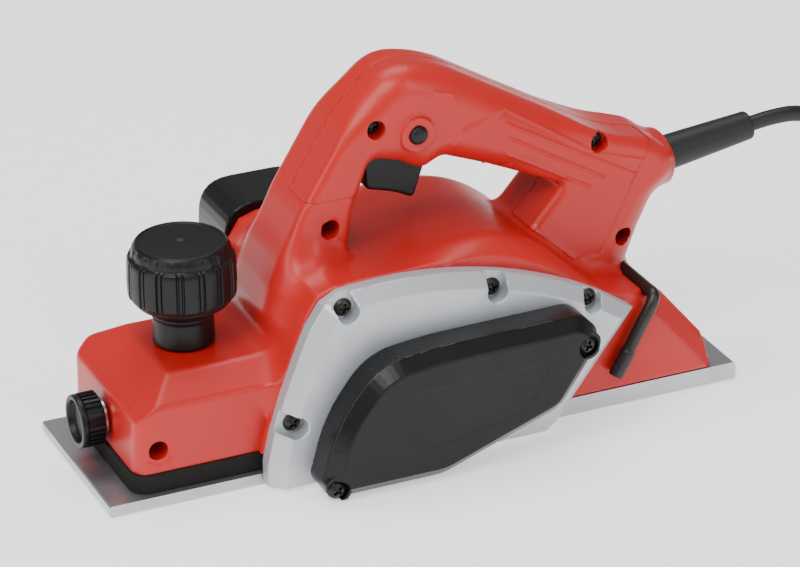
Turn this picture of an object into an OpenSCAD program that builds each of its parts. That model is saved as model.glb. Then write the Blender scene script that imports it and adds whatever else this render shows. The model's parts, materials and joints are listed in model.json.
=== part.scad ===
// Handheld electric planer: an 82 mm cutter drum driven by a belt from a motor that lies across the tool.
// Frame: +X to the rear, -Y to the belt side, +Z up. The origin is the centre of the rear sole's face.

/* [Sole] */
// Width of the sole and of the cut
sole_w = 82; // [82:1:83]
// Length of the whole sole, front edge to rear edge
sole_len = 290; // [288:1:294]
// Length of the rear sole
rear_sole_len = 168; // [166:1:170]
// Gap between the two soles, where the cutter shows
throat = 32; // [31:0.5:33]
// Thickness of the front base plate
front_base_t = 5; // [4:0.5:5]
// Thickness of the rear base plate
rear_base_t = 8; // [7:0.5:8]

/* [Cutter] */
// Radius of the circle that the blade edges run on
cut_r = 21.9; // [21:0.1:21.9]
// Height of the drum's axis above the sole
drum_z = 22; // [22:0.5:23]
// Largest depth of cut, which the front base travels
depth_max = 1; // [0.5:0.1:1]
// Radius of the drum's shaft
drum_shaft_r = 4; // [3.5:0.5:4.5]

/* [Motor and belt] */
// Distance of the motor's axis behind the drum's axis
motor_back = 62; // [61:0.5:62.5]
// Height of the motor's axis above the sole
motor_z = 41; // [41:0.5:42]
// Outer radius of the motor's field
field_r = 26; // [25:0.5:26]
// Radius of the drum's pulley
drum_pulley_r = 13.5; // [13:0.5:13.5]
// Radius of the motor's pulley
motor_pulley_r = 9; // [8.5:0.5:9]
// Width of the belt
belt_w = 10; // [8:0.5:11]
// Thickness of the belt
belt_t = 2; // [1.5:0.25:2]

/* [Housing] */
// Height of the flat top of the nose
nose_h = 52; // [51:0.5:53]
// Half the width of the handle
handle_half = 18.5; // [17.5:0.5:19.5]
// Wall of the plastic mouldings
wall = 3; // [2.5:0.5:3.5]

/* [Depth knob] */
// Height of the knob's top face
knob_top = 97.5; // [96:0.5:100]
// Largest radius of the knob
knob_r = 22.8; // [21:0.2:23]
// Distance of the knob's axis behind the front edge
knob_back = 50; // [49:0.5:51]

/* [Cord] */
// Diameter of the mains cord
cord_d = 7; // [6.5:0.1:7]
// Sides of the cord's tube
cord_sides = 10; // [8:1:12]

/* [Hidden] */
$fn = 48;
e = 0.01;
sole_half = sole_w / 2;
rear_x = rear_sole_len / 2;
front_x = rear_x - sole_len;
throat_front_x = -rear_x - throat;
drum_x = -rear_x - throat / 2;
motor_x = drum_x + motor_back;
knob_x = front_x + knob_back;

// Planes across the tool, from the belt side to the chute side
cover_y = -71;
face_y = -53;
joint_y = -41.5;
far_y = 45;
chute_y = 76;

// Motor and belt
bearing_r = 11;
bearing_w = 7;
near_bearing_y = -50;
pulley_y = -66;
core_r = 15.5;
air_gap = 0.6;
core_y = [-20, 16];
shaft_r = 4;
fan_r = field_r - 1.5;
barrel_r = 48;
at_motor = [motor_x, motor_z];
drum_half = 40.5;

// Screws of the frame, the belt cover and the chute as [x, z], of the base as [x, y]
frame_screw_spots = [[-127.5, 28.8], [-104, 76.3], [-37, 71.8], [8, 57.6]];
cover_screw_spots = [[-117.3, 5.6], [-3.3, 47.4]];
base_screw_spots = [[-70, -36], [-70, 36], [66, -30], [66, 30]];
chute_screw_spots = [[-123.5, 60], [-67.5, 60]];

// Nose
nose_half = 38;
nose_front_x = front_x + 13;
nose_bottom = 13.5;
seal_wall = 6;
rod = [front_x + 23.3, 23.8];
rod_r = 4.2;
clamp_z = 24.5;

// Depth screw
screw_r = 6;
running = 0.05;

// Handle
lock_at = [-58, 133.8];
handle_screws_at = [[-76, 138.5], [27, 113.3]];
deep_screws_at = [[-97.2, 98], [39.7, 67.2]];
trigger_pivot = [-72, 127];
trigger_half = 8;

// Cord guard: its root, and how far it tilts up
guard_root = [60, 92.6];
guard_tilt = 8;
guard_len = 50;

// Wrench
wrench_r = 2.75;
wrench_at = [41, 51];

// The cord's way from inside the guard to the coil, in millimetres
cord_route = [[62, 0, 92.9], [78, 0, 95.2], [94, 0, 97.4], [109, 0, 99.5], [121, 0, 100.9],
    [133, 0, 100.6], [144, -0.5, 96.8], [153, -1.5, 89.4], [159, -3, 79.2], [162.5, -5, 67],
    [164.5, -7.5, 54], [166.5, -10, 41], [169.5, -13, 29], [175, -16.5, 18.5], [183, -21, 10.6],
    [193.5, -26, 5.8], [205, -30.6, 4], [217, -34.8, 3.5]];
coil_at = [231, 8];
coil_inner = 26.2;
coil_outer = 47.3;
coil_h = 21;

plug_at = [231, 75];

// ---- Outlines and shape helpers -------------------------------------------------------------

function unit(v) = v / norm(v);

// One rounded corner: a curve from t before p to t after it
function corner(a, p, b, t, n) =
    let (q0 = p + t * unit(a - p), q1 = p + t * unit(b - p))
    [for (i = [0:n]) let (s = i / n) (1 - s) * (1 - s) * q0 + 2 * s * (1 - s) * p + s * s * q1];

// Outline of [x, z, rounding] corners; a rounding of 0 is a sharp corner
function rounded(c, n = 5) = let (m = len(c))
    [for (i = [0:m - 1])
        let (a = c[(i + m - 1) % m], p = c[i], b = c[(i + 1) % m], q = [p[0], p[1]])
        each (p[2] > 0 ? corner([a[0], a[1]], q, [b[0], b[1]], p[2], n) : [q])];

// Arc whose angle is counted from straight up, towards +X
function arc(cx, cz, r, a0, a1, n) =
    [for (i = [0:n]) let (a = a0 + (a1 - a0) * i / n) [cx + r * sin(a), cz + r * cos(a)]];

// Extrudes an outline in X and Z between two planes across the tool
module side(y0, y1, outline) {
    translate([0, y1, 0]) rotate([90, 0, 0]) linear_extrude(y1 - y0) polygon(outline);
}

// Extrudes an outline in Y and Z along the tool
module along(x0, x1, outline) {
    translate([x0, 0, 0]) rotate([90, 0, 90]) linear_extrude(x1 - x0) polygon(outline);
}

// Round bar across the tool, from y0 to y1
module bar(at, r, y0, y1) {
    translate([at[0], y1, at[1]]) rotate([90, 0, 0]) cylinder(r = r, h = y1 - y0);
}

module ring(at, r_out, r_in, y0, y1) {
    difference() {
        bar(at, r_out, y0, y1);
        bar(at, r_in, y0 - 1, y1 + 1);
    }
}

// Round bar along the tool, from x0 to x1
module rail(at_y, at_z, r, x0, x1) {
    translate([x0, at_y, at_z]) rotate([0, 90, 0]) cylinder(r = r, h = x1 - x0);
}

module post(at_x, at_y, r, z0, z1) {
    translate([at_x, at_y, z0]) cylinder(r = r, h = z1 - z0);
}

module box(x, y, z) {
    translate([x[0], y[0], z[0]]) cube([x[1] - x[0], y[1] - y[0], z[1] - z[0]]);
}

// Pan-head screw that points along +Y from its head's seat, with a cross slot
module screw_y(at, seat_y, head_r, head_h, r, len) {
    difference() {
        union() {
            bar(at, head_r, seat_y - head_h, seat_y);
            bar(at, r, seat_y, seat_y + len);
        }
        for (a = [0, 90]) translate([at[0], seat_y - head_h, at[1]]) rotate([0, a, 0])
            cube([head_r, head_h, 0.9], center = true);
    }
}

// Ring of points around each point of a path, joined into one closed tube
function path_dir(p, i) = unit(p[min(i + 1, len(p) - 1)] - p[max(i - 1, 0)]);
function side_dir(t, ref) = unit(cross(ref, t));
module tube(path, r, sides, ref) {
    last = len(path) - 1;
    pts = [for (i = [0:last])
        let (t = path_dir(path, i), u = side_dir(t, ref), v = cross(t, u))
        for (k = [0:sides - 1]) path[i] + r * (cos(360 * k / sides) * u + sin(360 * k / sides) * v)];
    walls = [for (i = [0:last - 1]) for (k = [0:sides - 1])
        let (a = i * sides + k, b = i * sides + (k + 1) % sides)
        each [[a, a + sides, b + sides], [a, b + sides, b]]];
    ends = [[for (k = [0:sides - 1]) k], [for (k = [sides - 1:-1:0]) last * sides + k]];
    polyhedron(pts, concat(walls, ends));
}

// Coil spring that stands along +Z
module spring(r, wire_r, len, turns) {
    steps = 14 * turns;
    tube([for (i = [0:steps]) [r * cos(360 * i / 14), r * sin(360 * i / 14),
        wire_r + (len - 2 * wire_r) * i / steps]], wire_r, 6, [0, 0, 1]);
}

// ---- Outlines of the mouldings --------------------------------------------------------------

// Curved top of the body as its side shows it
roof = arc(-82, -107.6, 192, 32, -7, 14);
function body_outline() = concat([[-126, 8], [72, 8]], rounded_end(), roof,
    [[-113, 80.5], [-118, 73], [-122, 63], [-131, 41], [-136, 25], [-139, nose_bottom],
     [-126, nose_bottom]]);
function rounded_end() = [[72, 17], [70.5, 22], [51, 45], [45, 50]];

function handle_outline() = rounded([[-122, 66, 0], [-114, 100, 14], [-84, 148, 11], [-66, 163, 10],
    [-44, 159, 11], [40, 109, 9], [60, 105, 5], [72, 96, 6], [71, 82, 4], [66, 76, 2],
    [50, 42, 0], [5, 50, 0], [-100, 60, 0]]);
function opening_outline() = rounded([[-92, 60, 0], [-86, 104, 0], [-78, 125, 5], [-45, 119, 5],
    [11, 97, 4], [-6, 78, 0], [-18, 60, 0]]);

// Part of the handle's belt side that comes off as a cover
function cover_region(g) = [[-140, 111 - g], [-140, 175], [52, 175], [52 + g, 108], [47 + g, 101],
    [28 + g, 62], [-12, 62], [-12, 111 - g]];

function frame_rim() = concat([[-139, 2], [-7, 2], [29, 49]], arc(-82, -107.6, 192, 30, -7, 14),
    [[-113, 79], [-119, 70], [-123, 61], [-131, 41], [-136, 25], [-139, 12]]);
function frame_face() = rounded([[-133, 0.6, 0], [-3, 0.6, 0], [23, 34, 3], [23, 42, 3],
    [-17, 66, 20], [-60, 77, 18], [-104, 76, 10], [-121, 34, 6]]);

function cover_outline(g) = rounded([[-123 + g, 7 + g, 3], [-119 + g, 0.8 + g, 3],
    [-68 - g / 3, 0.8 + g, 4], [-14 - g, 20 + g, 5], [2 - g, 44, 1], [3 - g, 53 - g, 4],
    [-5 - g, 61 - g, 5], [-71, 60 - g, 10], [-97 + g, 57 - g, 12], [-116 + g, 33, 14]]);

function chute_outline(g) = rounded([[-119 + g, 44 + g, 2], [-119 + g, 86 - g, 15 - g],
    [-72 - g, 86 - g, 12 - g], [-72 - g, 44 + g, 2]]);

// ---- Red mouldings --------------------------------------------------------------------------

module nose() {
    intersection() {
        side(-nose_half, nose_half, rounded([[nose_front_x, nose_bottom, 0],
            [nose_front_x + 1, 38, 2], [front_x + 33, nose_h, 3], [-112, nose_h, 0],
            [-112, nose_bottom, 0]]));
        along(nose_front_x - 1, -111, [[-nose_half, 10], [nose_half, 10], [nose_half, 43],
            [24, nose_h], [24, 60], [-24, 60], [-24, nose_h], [-nose_half, 43]]);
    }
}

// Round barrel over the motor, with its end rounded on the belt side; g grows it for a gap
module barrel(g = 0) {
    edge = 9.5;
    intersection() {
        translate([motor_x, 0, motor_z]) rotate([-90, 0, 0]) rotate_extrude(angle = 360)
            polygon(concat([[0, far_y]], [[0, joint_y - g]],
                [for (a = [0:15:90]) [barrel_r + g - edge + edge * sin(a),
                    joint_y - g + edge - edge * cos(a)]], [[barrel_r + g, far_y]]));
        box([motor_x - 60, motor_x + 60], [joint_y - 1, far_y], [motor_z + 12, 100]);
    }
}

module handle_ring() {
    difference() {
        side(-handle_half, handle_half, handle_outline());
        side(-handle_half - 1, handle_half + 1, opening_outline());
    }
}

// Hollow inside of the handle and of its legs
module handle_hollow() {
    side(-14.5, 14.5, [[-91, 130], [-77, 149], [-64, 158], [-48, 155], [38, 104.5], [52, 99],
        [50, 90], [13, 101.5], [-42, 123.5], [-76, 130]]);
    side(-14.5, 14.5, [[15, 103], [51, 96], [52, 82], [42, 66], [22, 66], [9, 84]]);
    side(-14.5, 14.5, [[-89, 132], [-81, 131], [-92, 104], [-103, 104], [-103, 112]]);
}

// Round room for the drum, open below and joined to the chip duct above
module drum_room() {
    bar([drum_x, drum_z], cut_r + 2.4, joint_y - 1, 41.8);
    box([throat_front_x, throat_front_x + throat], [joint_y - 1, 41.8], [-1, drum_z]);
    side(-29, far_y + 1, rounded([[-113, 35, 0], [-113, 79, 9], [-78, 79, 8], [-78, 35, 0]]));
}

module motor_room() {
    bar([motor_x, motor_z], field_r + 1, joint_y - 1, 36);
    intersection() {
        bar([motor_x, motor_z], barrel_r - wall, -32, 34);
        box([motor_x - 36, motor_x + 42], [-33, 35], [motor_z, 100]);
    }
    side(-34, 34, [[-12, 40], [4, 12], [60, 12], [44, 40], [22, 46], [-10, 46]]);
}

module nose_room() {
    difference() {
        box([nose_front_x + 5, -131], [-nose_half + wall, nose_half - wall], [10, 39]);
        bar(rod, rod_r + 4, -nose_half, nose_half);
        rail(0, clamp_z, 8, nose_front_x, rod[0]);
        post(knob_x, 0, 12.5, 33, 60);
    }
}

// Round seats, holes and pockets that other pieces sit in
module housing_seats() {
    bar([drum_x, drum_z], bearing_r, 41.7, 42 + bearing_w);
    bar([motor_x, motor_z], bearing_r, 35, 37 + bearing_w);
    bar(rod, rod_r, -nose_half - 1, nose_half + 1);
    rail(0, clamp_z, 4.1, nose_front_x - 1, rod[0]);
    rail(0, clamp_z, 6, nose_front_x + 2, nose_front_x + 6);
    post(knob_x, 0, screw_r + running, 30, nose_h + 1);
    post(knob_x, 0, 9, 33 - 1, 44);
    for (s = [-1, 1]) rail(27, motor_z, 5.2, motor_x + s * 23 - 10.5, motor_x + s * 23 + 10.5);
    bar(wrench_at, wrench_r + 0.25, -46, -8);
    for (p = deep_screws_at) {
        bar(p, 4.2, -46, -6);
        bar(p, 1.8, -7, 12);
    }
    for (p = frame_screw_spots) bar(p, 2.05, joint_y - 1, joint_y + 12);
    for (p = base_screw_spots) post(p[0], p[1], 2.05, 7, 16);
    for (p = chute_screw_spots) bar(p, 1.55, far_y - 9, far_y + 1);
}
module trigger_slot() {
    side(-trigger_half - 0.5, trigger_half + 0.5, [[-84, 104], [-79, 131], [-36, 130], [-39, 104]]);
}

module gland_room() {
    translate([guard_root[0], 0, guard_root[1]]) rotate([0, 90 - guard_tilt, 0]) {
        translate([0, 0, -9]) cylinder(r = 10.4, h = 9.5);
        cylinder(r = 8, h = 30);
    }
}

module lock_bore() {
    bar(lock_at, 4.1, -30, -1.2);
}

module main_housing() {
    color("firebrick") difference() {
        union() {
            nose();
            side(joint_y, far_y, body_outline());
            barrel();
            difference() {
                handle_ring();
                side(-30, 0.1, cover_region(0.15));
            }
            bar([drum_x, drum_z], bearing_r + 3.5, far_y - 1, 51);
            for (p = chute_screw_spots) bar(p, 5, far_y - 10, far_y);
        }
        handle_hollow();
        drum_room();
        motor_room();
        nose_room();
        housing_seats();
        trigger_slot();
        gland_room();
        screw_holes_handle();
        bar(trigger_pivot, 1.5, -10, 10);
        box([-160, joint_y + 8], [joint_y - 1, joint_y], [-1, 0]);
    }
}

module screw_holes_handle() {
    for (p = handle_screws_at) bar(p, 1.6, -1, 11);
}

module handle_cover() {
    color("firebrick") difference() {
        union() {
            intersection() {
                handle_ring();
                side(-30, 0, cover_region(0));
            }
            bar(lock_at, 7.6, -20.5, -handle_half);
        }
        barrel(0.2);
        side(joint_y, far_y, [for (p = body_outline()) [p[0], p[1] + 0.2]]);
        difference() {
            handle_hollow();
            for (p = handle_screws_at) bar(p, 5.2, -20, 0);
            bar(lock_at, 6.4, -20, 0);
        }
        for (p = handle_screws_at) {
            bar(p, 3.9, -25, -13);
            bar(p, 2.1, -14, 1);
        }
        trigger_slot();
        gland_room();
        lock_bore();
        bar(trigger_pivot, 1.5, -10, 10);
    }
}

// ---- Frame, bases and covers ----------------------------------------------------------------

module side_frame() {
    color("silver") difference() {
        union() {
            side(-46, joint_y, frame_rim());
            side(face_y, -46 + e, frame_face());
        }
        difference() {
            side(face_y + 3, joint_y + 1, rounded([[-124, 7, 2], [-10, 7, 4], [17, 41, 3],
                [-18, 61, 18], [-60, 71.5, 18], [-100, 71, 8], [-117, 34, 6]]));
            bar([drum_x, drum_z], bearing_r + 3, face_y, joint_y);
            bar([motor_x, motor_z], bearing_r + 3, face_y, joint_y);
            for (p = frame_screw_spots) bar(p, 5.5, face_y, joint_y);
            bar(cover_screw_spots[1], 5, face_y, joint_y);
            bar(cover_screw_spots[0], 8, face_y, joint_y);
        }
        for (at = [[drum_x, drum_z], [motor_x, motor_z]]) {
            bar(at, bearing_r, near_bearing_y, joint_y + 1);
            bar(at, 7, face_y - 1, near_bearing_y + 1);
        }
        for (p = frame_screw_spots) {
            bar(p, 2.3, face_y - 1, joint_y + 1);
            bar(p, 4.4, face_y - 1, -45.5);
        }
        for (p = cover_screw_spots) bar(p, 2, face_y - 1, face_y + 9);
    }
}

module rear_base() {
    color("silver") difference() {
        side(-sole_half, sole_half, [[-rear_x, 0], [rear_x, 0], [rear_x, rear_base_t - 1],
            [rear_x - 1, rear_base_t], [-rear_x + 8, rear_base_t], [-rear_x, 4.5]]);
        for (p = base_screw_spots) {
            post(p[0], p[1], 2.3, -1, 10);
            post(p[0], p[1], 4.6, -1, 3.4);
        }
    }
}

module front_base() {
    color("silver") difference() {
        union() {
            side(-sole_half, sole_half, [[front_x, 0.6], [front_x + 0.6, 0],
                [throat_front_x - 0.6, 0], [throat_front_x, 0.6], [throat_front_x, 4.4],
                [throat_front_x - 0.6, front_base_t], [front_x + 0.6, front_base_t],
                [front_x, 4.4]]);
            post(knob_x, 0, 10.5, front_base_t - e, 15);
            for (s = [-1, 1]) post(knob_x + 16, s * 20, 3.2, front_base_t - e, 11 + depth_max);
        }
        post(knob_x, 0, screw_r + running, 3, 16);
        post(knob_x, 0, 8.2, -1, 3 + e);
        side_v_groove();
    }
}

// Groove along the front sole that guides the tool on a corner
module side_v_groove() {
    along(front_x - 1, throat_front_x + 1, [[-3, -0.1], [3, -0.1], [0, 2.6]]);
}

module nose_seal() {
    color("dimgray") difference() {
        box([nose_front_x - 1, -127], [-nose_half, nose_half], [front_base_t, nose_bottom]);
        box([nose_front_x + seal_wall, -127 - seal_wall],
            [-nose_half + seal_wall, nose_half - seal_wall], [0, 20]);
    }
}

module belt_cover() {
    color("dimgray") difference() {
        union() {
            difference() {
                side(cover_y, face_y, cover_outline(0));
                side(cover_y + 2, face_y + 1, cover_outline(2));
            }
            for (p = cover_screw_spots) intersection() {
                bar(p, 6.5, cover_y, face_y);
                side(cover_y, face_y, cover_outline(0));
            }
        }
        for (p = cover_screw_spots) {
            bar(p, 4.9, cover_y - 1, -67);
            bar(p, 2.2, cover_y - 1, face_y + 1);
        }
    }
}

module chip_chute() {
    color("dimgray") difference() {
        union() {
            side(far_y, chute_y, chute_outline(0));
            side(far_y, far_y + 3, rounded([[-129, 48, 5], [-129, 72, 5], [-62, 72, 5], [-62, 48, 5]]));
        }
        side(far_y - 1, chute_y + 1, chute_outline(2.5));
        for (p = chute_screw_spots) bar(p, 1.8, far_y - 1, far_y + 4);
    }
}

module chip_deflector() {
    color("dimgray") intersection() {
        ring([drum_x, drum_z], cut_r + 2.3, cut_r + 1.1, -31, 31);
        box([drum_x + 8, drum_x + 30], [-31, 31], [drum_z + 2, drum_z + 30]);
    }
}

// ---- Cutter ---------------------------------------------------------------------------------

module drum_slot() {
    for (a = [0, 180]) translate([drum_x, 0, drum_z]) rotate([0, a, 0])
        box([9, 24], [-drum_half - 1, drum_half + 1], [2, 11.2]);
}

module cutter_drum() {
    color("lightgray") difference() {
        bar([drum_x, drum_z], cut_r - 1.2, -drum_half, drum_half);
        bar([drum_x, drum_z], drum_shaft_r + 1, -drum_half - 1, drum_half + 1);
        drum_slot();
        for (a = [0, 180], y = [-27, 0, 27]) translate([drum_x, y, drum_z]) rotate([0, a, 0])
            post(14.5, 0, 2.1, -6, 3);
    }
}

module drum_shaft() {
    color("gray") union() {
        bar([drum_x, drum_z], drum_shaft_r + 1, -drum_half, drum_half);
        bar([drum_x, drum_z], drum_shaft_r - running, -68, -drum_half + e);
        bar([drum_x, drum_z], drum_shaft_r - running, drum_half - e, 42 + bearing_w);
    }
}

module cutter_blades() {
    tip = sqrt(cut_r * cut_r - 3.2 * 3.2);
    color("gainsboro") for (a = [0, 180]) translate([drum_x, 0, drum_z]) rotate([0, a, 0])
        difference() {
            side(-drum_half, drum_half, [[9.1, 2], [tip - 1.3, 2], [tip, 3.2], [9.1, 3.2]]);
            for (y = [-27, 0, 27]) translate([0, y, 0]) post(14.5, 0, 2.3, 0, 10);
        }
}

module blade_plates() {
    color("slategray") for (a = [0, 180]) translate([drum_x, 0, drum_z]) rotate([0, a, 0])
        difference() {
            side(-drum_half, drum_half, [[9.1, 3.2], [cut_r - 2.6, 3.2], [cut_r - 4.2, 8],
                [9.1, 8]]);
            for (y = [-27, 0, 27]) translate([0, y, 0]) post(14.5, 0, 2.3, 0, 10);
        }
}

module blade_bolts() {
    color("dimgray") for (a = [0, 180], y = [-27, 0, 27])
        translate([drum_x, y, drum_z]) rotate([0, a, 0]) {
            post(14.5, 0, 2, -5, 8.1);
            translate([14.5, 0, 8]) cylinder(r = 3.6, h = 2.6, $fn = 6);
        }
}

module bearing(at, y0, shaft_r) {
    ring(at, bearing_r, bearing_r - 2.2, y0, y0 + bearing_w);
    ring(at, bearing_r - 2.2 + e, shaft_r + 2, y0 + 0.6, y0 + bearing_w - 0.6);
    ring(at, shaft_r + 2 + e, shaft_r, y0, y0 + bearing_w);
}

module drum_bearings() {
    color("gray") {
        bearing([drum_x, drum_z], near_bearing_y, drum_shaft_r);
        bearing([drum_x, drum_z], 42, drum_shaft_r);
    }
}

module pulley(at, r, hub_r, shaft_r) {
    difference() {
        union() {
            bar(at, r, pulley_y, pulley_y + 1 + belt_w);
            bar(at, hub_r, pulley_y + belt_w, pulley_y + belt_w + 3);
        }
        bar(at, shaft_r, pulley_y - 1, pulley_y + belt_w + 4);
    }
}

module drum_pulley() {
    color("gray") pulley([drum_x, drum_z], drum_pulley_r, 7, drum_shaft_r);
}

module pulley_nut() {
    color("dimgray") difference() {
        translate([drum_x, pulley_y, drum_z]) rotate([90, 0, 0]) cylinder(r = 7, h = 2.8, $fn = 6);
        bar([drum_x, drum_z], drum_shaft_r, pulley_y - 4, pulley_y + 1);
    }
}

module motor_pulley() {
    color("gray") pulley([motor_x, motor_z], motor_pulley_r, 6, 4);
}

// Points on a circle round c, from angle a0 to angle a1
function wrap(c, r, a0, a1, n) =
    [for (i = [0:n]) let (a = a0 + (a1 - a0) * i / n) c + r * [cos(a), sin(a)]];

// Outline of a belt round both pulleys, with its face g off them
function belt_outline(g) =
    let (d = norm([motor_back, motor_z - drum_z]), lean = atan2(motor_z - drum_z, motor_back),
        b = acos((drum_pulley_r - motor_pulley_r) / d))
    concat(wrap([drum_x, drum_z], drum_pulley_r + g, lean + b, lean + 360 - b, 30),
        wrap(at_motor, motor_pulley_r + g, lean - b, lean + b, 24));

module drive_belt() {
    y0 = pulley_y + 1;
    color("dimgray") difference() {
        side(y0, y0 + belt_w, belt_outline(belt_t + 0.15));
        side(y0 - 1, y0 + belt_w + 1, belt_outline(0.15));
    }
}

// ---- Motor ----------------------------------------------------------------------------------

module armature_shaft() {
    color("gray") bar(at_motor, shaft_r - running, -67, 37 + bearing_w - 0.5);
}

module armature_core() {
    color("peru") {
        difference() {
            bar(at_motor, core_r - air_gap, core_y[0], core_y[1]);
            bar(at_motor, shaft_r - running, -60, 60);
            for (a = [0:30:330]) translate([motor_x, 0, motor_z]) rotate([0, a, 0])
                box([core_r - 2, core_r + 1], [-21, 17], [-0.8, 0.8]);
        }
        ring(at_motor, 12.5, shaft_r - running, core_y[0] - 5, core_y[0]);
        ring(at_motor, 12.5, shaft_r - running, core_y[1], core_y[1] + 5);
    }
}

module commutator() {
    color("peru") difference() {
        ring(at_motor, 10, shaft_r - running, 22, 33);
        for (a = [0:30:330]) translate([motor_x, 0, motor_z]) rotate([0, a, 0])
            box([9.2, 11], [21, 34], [-0.3, 0.3]);
    }
}

module cooling_fan() {
    color("dimgray") {
        ring(at_motor, fan_r, shaft_r - running, -40, -38);
        ring(at_motor, 7, shaft_r - running, -38, -29);
        for (a = [0:30:330]) translate([motor_x, 0, motor_z]) rotate([0, a, 0])
            box([6.9, fan_r], [-38 - e, -29], [-0.8, 0.8]);
    }
}

module motor_bearings() {
    color("gray") {
        bearing(at_motor, near_bearing_y, shaft_r);
        bearing(at_motor, 37, shaft_r);
    }
}

module motor_field() {
    color("slategray") ring(at_motor, field_r, core_r + 0.4, core_y[0], core_y[1]);
}

module field_coils() {
    color("peru") for (y = [core_y[0] - 5, core_y[1]], s = [-1, 1]) intersection() {
        ring(at_motor, field_r - 2, core_r + 1, y, y + 5);
        side(y, y + 5, [for (p = [[-26, 11], [26, 11], [26, 28], [-26, 28]])
            [motor_x + p[0], motor_z + s * p[1]]]);
    }
}

module brush_holders() {
    color("tan") for (s = [-1, 1]) difference() {
        rail(27, motor_z, 5.1, motor_x + s * 23 - 10, motor_x + s * 23 + 10);
        box([motor_x + s * 23 - 11, motor_x + s * 23 + 11 - (s + 1)], [24, 30],
            [motor_z - 2.6, motor_z + 2.6]);
    }
}

module carbon_brushes() {
    color("dimgray") for (s = [-1, 1])
        box([motor_x + s * 17.4 - 7, motor_x + s * 17.4 + 7], [24.2, 29.8],
            [motor_z - 2.4, motor_z + 2.4]);
}

// ---- Depth setting and guide clamp ----------------------------------------------------------

module depth_knob() {
    color("dimgray") translate([knob_x, 0, 0]) difference() {
        rotate_extrude() polygon([[0, 58], [8, 58], [8, nose_h + 0.4], [13, nose_h + 0.4],
            [12.6, 66], [20, 70], [knob_r, 75], [knob_r, 85], [21.6, 92], [18.6, knob_top - 1],
            [16, knob_top], [0, knob_top]]);
        for (a = [0:22.5:359]) rotate([0, 0, a]) translate([knob_r + 0.8, 0, 76])
            cylinder(r = 1.6, h = 14, $fn = 16);
        translate([0, 0, 40]) cylinder(r = screw_r, h = 40);
    }
}

module depth_screw() {
    color("silver") {
        post(knob_x, 0, screw_r, 15, 80);
        post(knob_x, 0, screw_r, 1.2, 15 + e);
    }
}

module depth_nut() {
    color("gold") difference() {
        post(knob_x, 0, 9, 33.5, 44);
        post(knob_x, 0, screw_r + running, 30, 50);
    }
}

module depth_spring() {
    color("silver") translate([knob_x, 0, 15.1]) spring(8, 0.9, 18.2, 5);
}

module screw_clip() {
    color("gray") difference() {
        post(knob_x, 0, 7.8, 1.8, 2.8);
        post(knob_x, 0, screw_r, 0, 4);
    }
}

module clamp_knob() {
    color("dimgray") difference() {
        union() {
            rail(0, clamp_z, 11.4, front_x + 0.5, front_x + 11);
            rail(0, clamp_z, 4 - running, front_x + 11 - e, rod[0] - rod_r - 0.6);
        }
        for (a = [0:12:359]) translate([front_x, 0, clamp_z]) rotate([a, 0, 0])
            box([2, 11.5], [10.8, 12], [-0.5, 0.5]);
        rail(0, clamp_z, 8.6, front_x - 1, front_x + 3.5);
    }
}

module clamp_washer() {
    color("silver") difference() {
        rail(0, clamp_z, 8, front_x + 11.1, front_x + 12.6);
        rail(0, clamp_z, 4, front_x + 10, front_x + 14);
    }
}

module clamp_nut() {
    color("gold") difference() {
        rail(0, clamp_z, 6, nose_front_x + 2, nose_front_x + 6);
        rail(0, clamp_z, 4, nose_front_x - 1, nose_front_x + 8);
    }
}

// ---- Switch and cord entry ------------------------------------------------------------------

module trigger() {
    color("dimgray") difference() {
        side(-trigger_half, trigger_half, rounded([[-77, 121, 1], [-75, 129.5, 1], [-46, 126, 1],
            [-50, 113, 3], [-54.5, 99.5, 3], [-63, 104, 5], [-76, 107.5, 2]]));
        bar(trigger_pivot, 1.5 + running, -20, 20);
    }
}

module trigger_pin() {
    color("silver") bar(trigger_pivot, 1.5, -10, 10);
}

module switch_body() {
    color("dimgray") {
        side(-9, 9, [[-44, 135], [-43, 144], [-25, 138.5], [-16, 132], [-17, 121], [-30, 127]]);
    }
}

module lock_button() {
    color("dimgray") union() {
        bar(lock_at, 3.9, -22.5, -12);
        bar(lock_at, 2.6, -12 - e, -8.8);
    }
}

module lock_spring() {
    color("silver") translate([lock_at[0], -8.7, lock_at[1]]) rotate([-90, 0, 0])
        spring(2.2, 0.4, 7.4, 4);
}

module cord_guard() {
    color("dimgray") translate([guard_root[0], 0, guard_root[1]]) rotate([0, 90 - guard_tilt, 0])
        rotate_extrude() polygon([[3.7, -5], [10, -5], [10, -1], [7.8, -0.5], [7.7, 12],
            [6.3, guard_len], [3.7, guard_len]]);
}

module cord_clamp() {
    color("dimgray") difference() {
        box([38, 46], [-11, 11], [84, 88]);
        for (s = [-1, 1]) post(42, s * 8, 1.7, 80, 90);
    }
}

module clamp_screws() {
    color("gray") for (s = [-1, 1]) {
        post(42, s * 8, 1.6, 79, 88);
        post(42, s * 8, 2.9, 88, 90);
    }
}

// ---- Screws and wrench ----------------------------------------------------------------------

module frame_screws() {
    color("dimgray") for (p = frame_screw_spots) screw_y(p, -45.5, 4, 2.6, 2, 14);
}

module cover_screws() {
    color("dimgray") for (p = cover_screw_spots) screw_y(p, -67, 4.2, 2.6, 1.9, 21);
}

module handle_screws() {
    color("dimgray") for (p = handle_screws_at) screw_y(p, -13, 3.5, 2.4, 1.55, 22);
}

module housing_screws() {
    color("dimgray") for (p = deep_screws_at) screw_y(p, -6, 3.8, 2.6, 1.75, 16);
}

module base_screws() {
    color("dimgray") for (p = base_screw_spots) union() {
        post(p[0], p[1], 4.3, 0.4, 3.4);
        post(p[0], p[1], 2, 3.4 - e, 15);
    }
}

module chute_screws() {
    color("dimgray") for (p = chute_screw_spots) mirror([0, 1, 0]) screw_y(p, -far_y - 3, 3, 2, 1.5, 10);
}

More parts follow.
